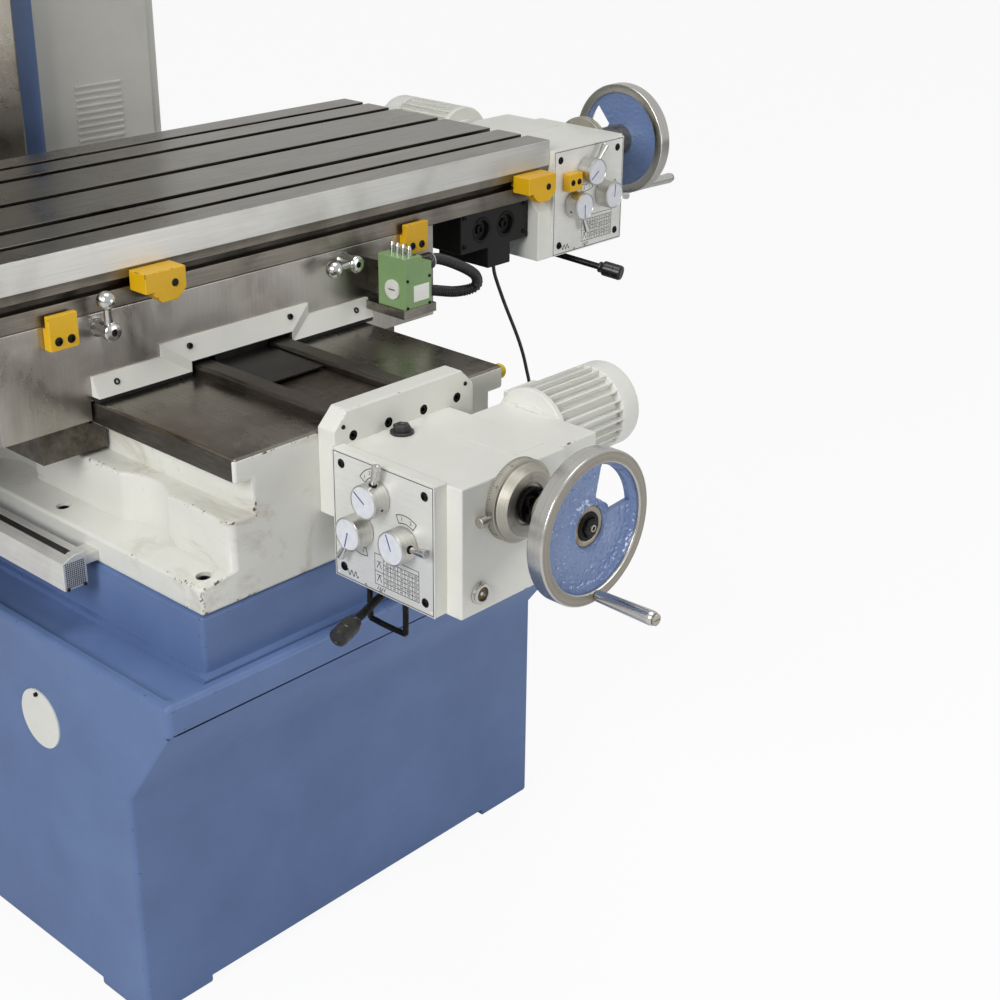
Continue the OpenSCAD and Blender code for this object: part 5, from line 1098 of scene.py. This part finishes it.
def threaded(name, axis):
    """Rolled screw steel: a bright flank and a dark root, painted shade of the thread's groove, every 10 mm
    along the axis, 0, 1 or 2.
    """
    # Threads in a metre, their depth of 1.5 mm, and patches of oil 17 mm across, 60 in a metre
    threads_in_m, thread_depth, patches_in_m = 100, 0.0015, 60
    steel = emptied(bpy.data.materials.new(name))
    place = add(steel, "TexCoord").outputs["Object"]
    parts = add(steel, "SeparateXYZ", None, {"Vector": place})
    turns = add(steel, "Math", {"operation": "MULTIPLY"}, {0: parts.outputs["XYZ"[axis]],
                                                           1: threads_in_m * 2 * math.pi})
    flank = add(steel, "Math", {"operation": "SINE"}, {0: turns.outputs["Value"]})
    # The dark root tone is painted shade of the thread's groove
    tone = add(steel, "ValToRGB", None, {"Fac": flank.outputs["Value"]})
    for stop, position, tint in zip(tone.color_ramp.elements, (0.0, 0.5), ("4E4A42", "9C9A94")):
        stop.position, stop.color = position, colour(tint)
    film = add(steel, "TexNoise", None, {"Vector": place, "Scale": patches_in_m, "Detail": 4})
    gloss = add(steel, "MapRange", None, {"Value": film.outputs["Fac"], "To Min": 0.22, "To Max": 0.42})
    thread = add(steel, "Bump", None, {"Height": flank.outputs["Value"], "Strength": 0.9,
                                       "Distance": thread_depth})
    shader = add(steel, "BsdfPrincipled", None, {"Base Color": tone.outputs["Color"], "Metallic": 1.0,
                                                 "Roughness": gloss.outputs["Result"],
                                                 "Normal": thread.outputs["Normal"]})
    add(steel, "OutputMaterial", None, {"Surface": shader.outputs["BSDF"]})
    return steel


def dress(node, finish):
    """The node keeps its own shape and gets the finish."""
    mesh = frame["nodes"][node].data
    mesh.materials.clear()
    mesh.materials.append(finish)


# Each shaft's collar ends at a wall of the bed or table, and the shaft a little further on
forward = (0, -1, 0)
for unit, axis, wall, end in (("y", 1, 1016, 1051), ("x", 0, 1728, 1768)):
    # Seen from its front end: washer, nut and stud, shaft, four clutch jaws, dial seat, shaft, thread
    rod = new_shape()
    turn(rod, [(0, -end), (11, -end), (12, 1 - end), (12, 0.3 - wall), (15, 0.3 - wall),
               (16, 1.3 - wall), (16, -9), (15, -8), (15, 241.3)], axis=forward, sides=48)
    turn(rod, [(15, 241.3), (20, 241.3), (20, 267.6), (23.4, 267.6), (24, 268.2), (24, 273.6),
               (12, 273.6), (12, 360.3)], axis=forward, paint=1, sides=48)
    for k in range(4):
        block(rod, (5.6, 5.6, -0.5), (16.6, 16.6, 6), 0.6, 1,
              Matrix.Translation((0, -273.4, 0)) @ Matrix.Rotation(math.radians(90), 4, "X")
              @ Matrix.Rotation(math.pi / 2 * k, 4, "Z"))
    turn(rod, [(12, 360.3), (18.2, 360.3), (18.8, 360.9), (18.8, 362), (17.6, 362.8), (15.5, 362.8),
               (14.8, 363.6), (0, 363.6)], axis=forward, paint=1, sides=48)
    turn(rod, [(0, 363.4), (13.4, 363.4), (13.4, 366.6), (11, 368.2), (0, 368.2)], axis=forward,
         paint=1, sides=6)
    turn(rod, [(0, 368), (4.6, 368), (4.6, 369.9), (4.2, 370.3), (3, 370.3), (3, 369), (0, 369)],
         axis=forward, paint=2, sides=28)
    turn(rod, [(0, 368.9), (3, 368.9), (3, 369.3), (0, 369.3)], axis=forward, paint=1, sides=20)
    screw_steel = threaded(unit + "_trapezoidal_screw_steel", axis)
    fit(finished(rod, unit + "_feed_shaft", [screw_steel, black_steel, dial_steel], unit_places[unit]),
        unit + "_screw")
dress("z_screw", threaded("z_trapezoidal_screw_steel", 2))

# Saddle: grey iron ground on its faces, the wheel marks upright on the front. The keepers under the
# ways are dark scraped iron, and the way cover is blued sheet.

# Even light grey with brownish stains; the keepers are mottled, and the blued sheet is dark and dull
saddle_iron = ground_metal("ground_saddle_iron", "B2AEA9", "A6A29D", (260, 260, 9), 0.32, "736B61",
                           0.45, 0.06)
fit(finished(rounded("saddle", 1.4), "cast_saddle", [saddle_iron]), "saddle")
keeper_iron = ground_metal("scraped_iron", "77726B", "4B4741", (60, 60, 60), 0.44, "35302A", 0.6)
fit(finished(rounded("keepers", 1), "saddle_keepers", [keeper_iron]), "keepers")
blued_sheet = ground_metal("blued_steel_sheet", "403E3C", "2B2A29", (6, 120, 120), 0.38, "1E1B18", 0.6,
                           0.15)
fit(finished(rounded("way_cover", 0.5), "screw_way_cover", [blued_sheet]), "way_cover")

# Wipers: white enamelled holders like a picture frame's moulding, mitred where they step up and over
# the guide. They slope out from the saddle to their lower edge, which grips a black rubber lip.


def moulding(shape, rows, paint=0):
    """A solid drawn along its rows, each an (x, z) outline and its place y. The rows go round it."""
    rings = [[shape.verts.new((x, y, z)) for x, z in outline] for outline, y in rows]
    for a, b in zip(rings, rings[1:] + rings[:1]):
        for k in range(len(a) - 1):
            shape.faces.new((a[k], a[k + 1], b[k + 1], b[k])).material_index = paint
    for end in (0, -1):
        shape.faces.new([ring[end] for ring in rings]).material_index = paint


upper = [(-246, 854), (-132, 854), (-132, 872), (135, 872), (135, 854), (255, 854)]
lower = [(-246, 826), (-92, 826), (-92, 841), (92, 841), (92, 826), (255, 826)]
lip = [(-245.5, 819.3), (-89.5, 819.3), (-89.5, 838), (89.5, 838), (89.5, 819.3), (254.5, 819.3)]
wipers = new_shape()
moulding(wipers, [(upper, -250), (upper, -254), (lower, -267), (lower, -250)])
moulding(wipers, [(lower, -251), (lower, -265.5), (lip, -264), (lip, -251)], 1)
fit(finished(wipers, "way_wipers", [white_enamel, dark_rubber]), "wipers")
saddle_heads = new_shape()
screws(saddle_heads, [((x, -257, z), (0, -1, 0.4)) for x, z in (
    (-212, 840), (-88, 860), (95, 860), (225, 840))], 4.5, 5)
stop_screws = (-297, -278, 342, 362)
screws(saddle_heads, [((x, -260, 919), (0, -1, 0)) for x in stop_screws], 5.25, 7)
screws(saddle_heads, [((x, y, 755), (0, 0, -1)) for x in (-285, 285) for y in (-180, 0, 180)], 7.5, 10)
fit(finished(saddle_heads, "saddle_screw_heads", [black_steel]), "saddle_screws")

# Travel stops on the saddle and trip dogs in the table's groove: milled steel blocks in yellow enamel,
# chipped at the edges. A dark socket screw clamps each dog.

# A warm yellow film, glossy, whose chips are brown
yellow_enamel = enamel("yellow_enamel", "F2C118", "E4AE12", "5A4A2A", 0.25, 0.003, 0.3, 0.4, 0.56)
stops = rounded("travel_stops", 1.2, 10)
# A black disc round each screw's head fills its counterbore, painted shade of the gap
for x in stop_screws:
    turn(stops, [(0, 0.15), (6.1, 0.15), (6.1, -0.4), (0, -0.4)], (x, -265, 919), (0, -1, 0), 1, 28)
fit(finished(stops, "saddle_travel_stops", [yellow_enamel, black_steel]), "travel_stops")
dogs = rounded("trip_dogs", 1.3, 8)
screws(dogs, [((x + 48, -286, 966), (0, -1, 0)) for x in (-172, 588)], 5.5, 1.2, 1)
screws(dogs, [((x, -277.5, 958), (0, -1, 0)) for x in (709, 725)], 5.2, 1, 1)
fit(finished(dogs, "table_trip_dogs", [yellow_enamel, black_steel]), "trip_dogs")

# Lock levers: chromed steel, a waisted hub screwed into the saddle, a tapered arm and a ball.

# It mirrors the room sharply, nearly white
chrome = turned_metal("chromed_steel", "D2D2D0", "C2C2C0", 0.14, 3.0, "8E8C88", 0.06)
ball_radius, arm_lean = 13, math.radians(10)
for node, x, z, turn_by in (("lock_lever_left", -226, 919, -8), ("lock_lever_right", 209, 921, -88)):
    lock = new_shape()
    turn(lock, [(0, -28), (6, -28), (6, 0.3), (13, 0.3), (13, 2), (11, 8), (11, 22), (13, 26), (13, 33),
                (12, 34.6), (8, 36.3), (4.5, 36.3), (4, 33), (0, 33)], (x, -250, z), (0, -1, 0),
         sides=48)
    out = Matrix.Rotation(math.radians(turn_by), 3, "Y") @ Matrix.Rotation(arm_lean, 3, "X")
    root = Vector((x, -250, z)) + out @ Vector((0, -24, 0))
    ball = [(ball_radius * math.sin(a), 50 - ball_radius * math.cos(a))
            for a in map(math.radians, range(24, 180, 12))]
    turn(lock, [(0, 0), (7, 0), (5, 38)] + ball + [(0, 63)], root, out @ Vector((0, 0, 1)), sides=40)
    screws(lock, [((x, -283.2, z), (0, -1, 0))], 6.4, 2.6, 1)
    fit(finished(lock, node + "_arm", [chrome, black_steel]), node)

# Limit switch: die-cast housing in green hammertone on a milled steel plate, with a blank type plate, a
# white slotted plug, four steel plungers and two nickel-plated glands for the corrugated conduit.

# Hammertone is dimpled at 4 mm. Polyamide is white with a soft shine, and the milled plate is bright
green_enamel = enamel("green_hammertone", "8FB07A", "7C9D66", "54604C", 0.6, 0.004, 0.3, 0.35, 0.62)
white_plastic = moulded("white_polyamide", "EDEDE8", "DDDDD6", 0.006, 0.4)
plate_steel = ground_metal("milled_plate_steel", "A5A199", "7E7A72", (60, 60, 300), 0.32, "4E473D", 0.5)
switch_finishes = [green_enamel, plate_steel, black_steel, white_plastic, anodised, nickel]
switch = rounded("limit_switch", 1, 12)
# The housing's limits: what lies past them is the plate, the glands and the plug
plate_top, plate_front, housing_foot, plug_from, gland_from = 855.2, -288.5, 856, 245.9, 302.1
paint_where(switch, lambda at, n: at.z < plate_top, 1)
paint_where(switch, lambda at, n: at.x > gland_from and at.z > housing_foot, 5)
paint_where(switch, lambda at, n: at.x < plug_from and at.z > housing_foot, 3)
paint_where(switch, lambda at, n: at.y > plate_front, 1)
block(switch, (264, -346.6, 864), (296, -345.8, 889), 0.3, 4)
turn(switch, [(0, 0), (15, 0), (15, 3), (14, 3.6), (0, 3.6)], (246.4, -320, 883), (-1, 0, 0), 3, 40)
# The plug's slot is a black stroke, painted shade of the slot
stroke(switch, [(-6, 0), (6, 0)], 1.6, leftwards(242.75, -320, 883), 2)
for k in range(9):
    turn(switch, [(12.4, 0), (13, 0.5), (13, 2), (12.4, 2.5)], (313.5 + 3 * k, -304, 905), (1, 0, 0),
         2, 30, True)
screws(switch, [((x, -346, z), (0, -1, 0)) for z in (857, 899) for x in (251, 297)], 2.4, 1.4, 2)
fit(finished(switch, "table_limit_switch", switch_finishes), "limit_switch")
plungers = new_shape()
for y in (-337, -325, -313, -301):
    turn(plungers, [(0, -10), (4, -10), (4, 11.5), (3.6, 12.4), (2.2, 16.2), (1.4, 17), (0, 17)],
         (264, y, 933), sides=28)
fit(finished(plungers, "switch_plunger_pins", [chrome]), "switch_plungers")

# Conduit: black polyamide hose with close ribs, plugged into the two glands. The tree sweeps a ring
# along the route and widens it at each rib.

hose_tree, given = new_tree("ribbed_conduit", {
    "Radius": "Float", "Rib height": "Float", "Rib pitch": "Float"})
steps_to_a_rib, hose_sides = 6.0, 24
course = add(hose_tree, "GeometryNodeMeshToCurve", None, {"Mesh": given["Spots"]})
step = add(hose_tree, "Math", {"operation": "DIVIDE"}, {0: given["Rib pitch"], 1: steps_to_a_rib})
even = add(hose_tree, "GeometryNodeResampleCurve", {"mode": "LENGTH"},
           {"Curve": course.outputs["Curve"], "Length": step.outputs["Value"]})
gone = add(hose_tree, "GeometryNodeSplineParameter")
phase = add(hose_tree, "Math", {"operation": "DIVIDE"}, {0: gone.outputs["Length"],
                                                         1: given["Rib pitch"]})
angle = add(hose_tree, "Math", {"operation": "MULTIPLY"}, {0: phase.outputs["Value"], 1: 2 * math.pi})
swell = add(hose_tree, "Math", {"operation": "SINE"}, {0: angle.outputs["Value"]})
rise = add(hose_tree, "Math", {"operation": "MULTIPLY"}, {0: swell.outputs["Value"],
                                                          1: given["Rib height"]})
wide = add(hose_tree, "Math", {"operation": "ADD"}, {0: rise.outputs["Value"], 1: given["Radius"]})
section = add(hose_tree, "GeometryNodeCurvePrimitiveCircle", None, {"Resolution": hose_sides,
                                                                    "Radius": 1.0})
swept = add(hose_tree, "GeometryNodeCurveToMesh", None, {
    "Curve": even.outputs["Curve"], "Profile Curve": section.outputs["Curve"],
    "Scale": wide.outputs["Value"], "Fill Caps": True})
smooth = add(hose_tree, "GeometryNodeSetShadeSmooth", None, {"Geometry": swept.outputs["Mesh"]})
end_tree(hose_tree, smooth.outputs["Geometry"], given["Finish"])
hose_route = [(326, -304, 905), (358, -304, 904), (406, -304, 883), (444, -302, 859), (452, -294, 837),
              (420, -282, 833), (364, -276, 846), (326, -276, 847)]
hose_line = [p * 1000 for p in smooth_route(hose_route, 12)]
hose = new_shape()
grown(hose, hose_tree, [(p, (0, 0, 1)) for p in hose_line],
      {"Radius": 8.1, "Rib height": 0.85, "Rib pitch": 4.4}, black_nylon, 0,
      [(k, k + 1) for k in range(len(hose_line) - 1)])
fit(finished(hose, "ribbed_conduit", [black_nylon], smooth=60), "switch_conduit")

# Table: grey iron, 1.8 m long. Its top is ground lengthwise and its front band is bright, while the
# T-slots, the dog groove and the underside are dark with oil and with painted shade.

# The top is brighter than its front under the band, and marks run lengthwise on all of them
table_iron = ground_metal("ground_table_top", "A8A49C", "7D7972", (9, 420, 420), 0.3, "5A5148", 0.45)
band_iron = ground_metal("bright_table_band", "D6D6D2", "C6C5C1", (7, 300, 300), 0.34, "A8A49D", 0.25,
                         0.08, 0.7)
front_iron = ground_metal("milled_table_front", "918C84", "746F67", (9, 300, 300), 0.38, "4A443B", 0.55,
                          0.12)
slot_oil_and_shade = ground_metal("oiled_iron_with_painted_shade", "5A554D", "35312C", (14, 200, 200), 0.42, "211E1A", 0.6)
# Where the faces change: under the top, at the groove's foot, behind the band, behind the front
table_top, groove_foot, band_in, front_in = 1031, 990, -240, -249
table = rounded("table", 1.2)
# T-slots, dog groove and underside take dark oiled iron that also stands for painted shade
paint_where(table, lambda at, n: n.z < 0.5 or at.z < table_top, 2)
paint_where(table, lambda at, n: at.y < band_in and n.z < 0.9 and at.z > groove_foot, 1)
paint_where(table, lambda at, n: at.y < front_in and n.y < -0.9 and at.z < groove_foot, 3)
paint_where(table, lambda at, n: abs(n.x) > 0.5, 0)
fit(finished(table, "t_slot_table", [table_iron, band_iron, slot_oil_and_shade, front_iron]), "table")

# Drive block beside the table unit: cast iron in black enamel, with two turned seats in its front. The
# film is duller than the white one and hides its dirt.

black_enamel = enamel("black_machine_enamel", "191918", "0F0F0E", "4A4844", 0.35, 0.003, 0.44, 0.2,
                      0.66, 0.25)
drive = rounded("x_drive_block", 2)
for x in (530, 588):
    turn(drive, [(17, -0.2), (19, 0.8), (21, 0.8), (22, -0.2)], (x, -235, 903), (0, -1, 0), 1, 40, True)
    screws(drive, [((x, -227, 903), (0, -1, 0))], 8, 5, 1)
screws(drive, [((x, -235, z), (0, -1, 0)) for x in (488, 632) for z in (882, 930)], 4, 2.4, 1)
fit(finished(drive, "table_drive_block", [black_enamel, black_steel]), "x_drive_block")

# Column: ribbed box casting in blue enamel. Its guide plate is ground bright and oiled, and the head's
# feed motor stands on top.

column = rounded("column", 5)
plate_in, plate_foot = 519.5, 895
paint_where(column, lambda at, n: at.y < plate_in and at.z > plate_foot, 1)
# Service covers on the left side, each with four screws
for z in (1250, 1750):
    block(column, (-213, 620, z - 130), (-209.5, 830, z + 130), 1.2, 0)
    screws(column, [((-213, y, z + s), (-1, 0, 0)) for y in (634, 816) for s in (-116, 116)], 5, 3, 2)
fit(finished(column, "box_column", [blue_enamel, way_iron, black_steel]), "column")
top_motor = rounded("z_motor", 1.5)
# Cooling rings, and a screw in each corner of its foot
for k in range(12):
    turn(top_motor, [(54.8, 0), (57, 0.8), (57, 3.2), (54.8, 4)], (0, 600, 2196 + 10 * k), sides=64,
         hollow=True)
screws(top_motor, [((x, y, 2170), (0, 0, 1)) for x in (-60, 60) for y in (540, 660)], 5, 4, 1)
fit(finished(top_motor, "head_feed_motor", [white_aluminium, black_steel]), "z_motor")

# Electrical cabinet: folded sheet steel, powder coated light grey with a fine texture. Its door hangs
# on two pins and has a black swing handle.

# The powder melts to a fine pebbled skin, crests 1.6 mm apart, with a dull shine
powder = enamel("grey_textured_powder_coat", "DCDBD4", "D0CFC8", "8A8880", 0.9, 0.0016, 0.5, 0.15, 0.75)
cabinet = rounded("cabinet", 2.5)
# Its hinge pins are black steel, and the door's handle is black nylon
paint_where(cabinet, lambda at, n: at.x > 470.4 or at.y > 880.4, 1)
# Louvres low in its front
for k in range(9):
    block(cabinet, (300, 557.5, 960 + 12 * k), (400, 560.5, 965 + 12 * k), 1, 0)
fit(finished(cabinet, "electrical_cabinet", [powder, black_steel]), "cabinet")
door = rounded("cabinet_door", 2)
paint_where(door, lambda at, n: at.x > 488.6 and at.y < 640, 1)
fit(finished(door, "cabinet_swing_door", [powder, black_nylon]), "cabinet_door")

# Head: cast iron in white enamel on the guide plate, held by ground gibs. The spindle is hardened and
# ground, with a 7:24 taper in its nose.

head = rounded("head", 5)
# Its gibs are bare, and each side has a service cover with four screws
gibs_from = 489.85
paint_where(head, lambda at, n: at.y > gibs_from, 1)
for s in (-1, 1):
    block(head, (s * 190 - 2, -60, 1560), (s * 190 + 2, 260, 1760), 1.2, 0)
    screws(head, [((s * 192, y, z), (s, 0, 0)) for y in (-46, 246) for z in (1574, 1746)], 6, 4, 2)
fit(finished(head, "mill_head", [white_enamel, way_iron, black_steel]), "head")
# Bright and nearly free of marks, with a sharp shine
spindle_steel = ground_metal("ground_hardened_steel", "CFCDC8", "A9A7A2", (240, 240, 240), 0.18,
                             "827E77", 0.15, 0.1)
fit(finished(rounded("spindle", 0.8, 6), "taper_spindle", [spindle_steel]), "spindle")

# Control box: folded sheet in dark grey powder coat, with push buttons in moulded plastic on its front
# and a bright ring round each.

# Dark grey with the same pebbled skin. The buttons' plastic is glossy and evenly coloured
dark_powder = enamel("dark_grey_powder_coat", "46494C", "3A3D40", "8A8A86", 0.8, 0.0016, 0.5, 0.1, 0.75)
red = moulded("moulded_red_plastic", "D22A22", "B81C16", 0.008, 0.3)
green = moulded("moulded_green_plastic", "2F9A55", "247F45", 0.008, 0.3)
box_front, button_height = -245, 1710
buttons = (("emergency_stop", -65, 20, 8, 14, red, "red_plastic"),
           ("start_button", 5, 14, 5, 8, green, "green_plastic"),
           ("stop_button", 65, 14, 5, 8, black_nylon, "black_plastic"))
control = rounded("control_box", 3)
for _, x, radius, *_ in buttons:
    # The pressed button stops 1 mm off the box, so its ring is thinner than that
    turn(control, [(8.3, 0), (radius + 1.6, 0), (radius + 1.6, 0.4), (radius + 1.2, 0.8), (8.3, 0.8)],
         (x, box_front, button_height), (0, -1, 0), 1, 48, True)
block(control, (-102, -245.8, 1736), (102, -244.8, 1760), 0.3, 2)
screws(control, [((x, box_front, z), (0, -1, 0)) for x in (-103, 103) for z in (1657, 1763)], 3.2, 2, 3)
fit(finished(control, "control_panel_box", [dark_powder, chrome, anodised, black_steel]), "control_box")
for node, x, radius, gap, cap, finish, slot in buttons:
    button = new_shape()
    turn(button, [(0, -22), (8, -22), (8, gap), (radius - 1, gap), (radius, gap + 1),
                  (radius, gap + cap - 3), (radius - 1, gap + cap - 1), (radius - 3, gap + cap),
                  (0, gap + cap - 0.4)], (x, box_front, button_height), (0, -1, 0), sides=48)
    fit(finished(button, node + "_cap", [finish]), node)
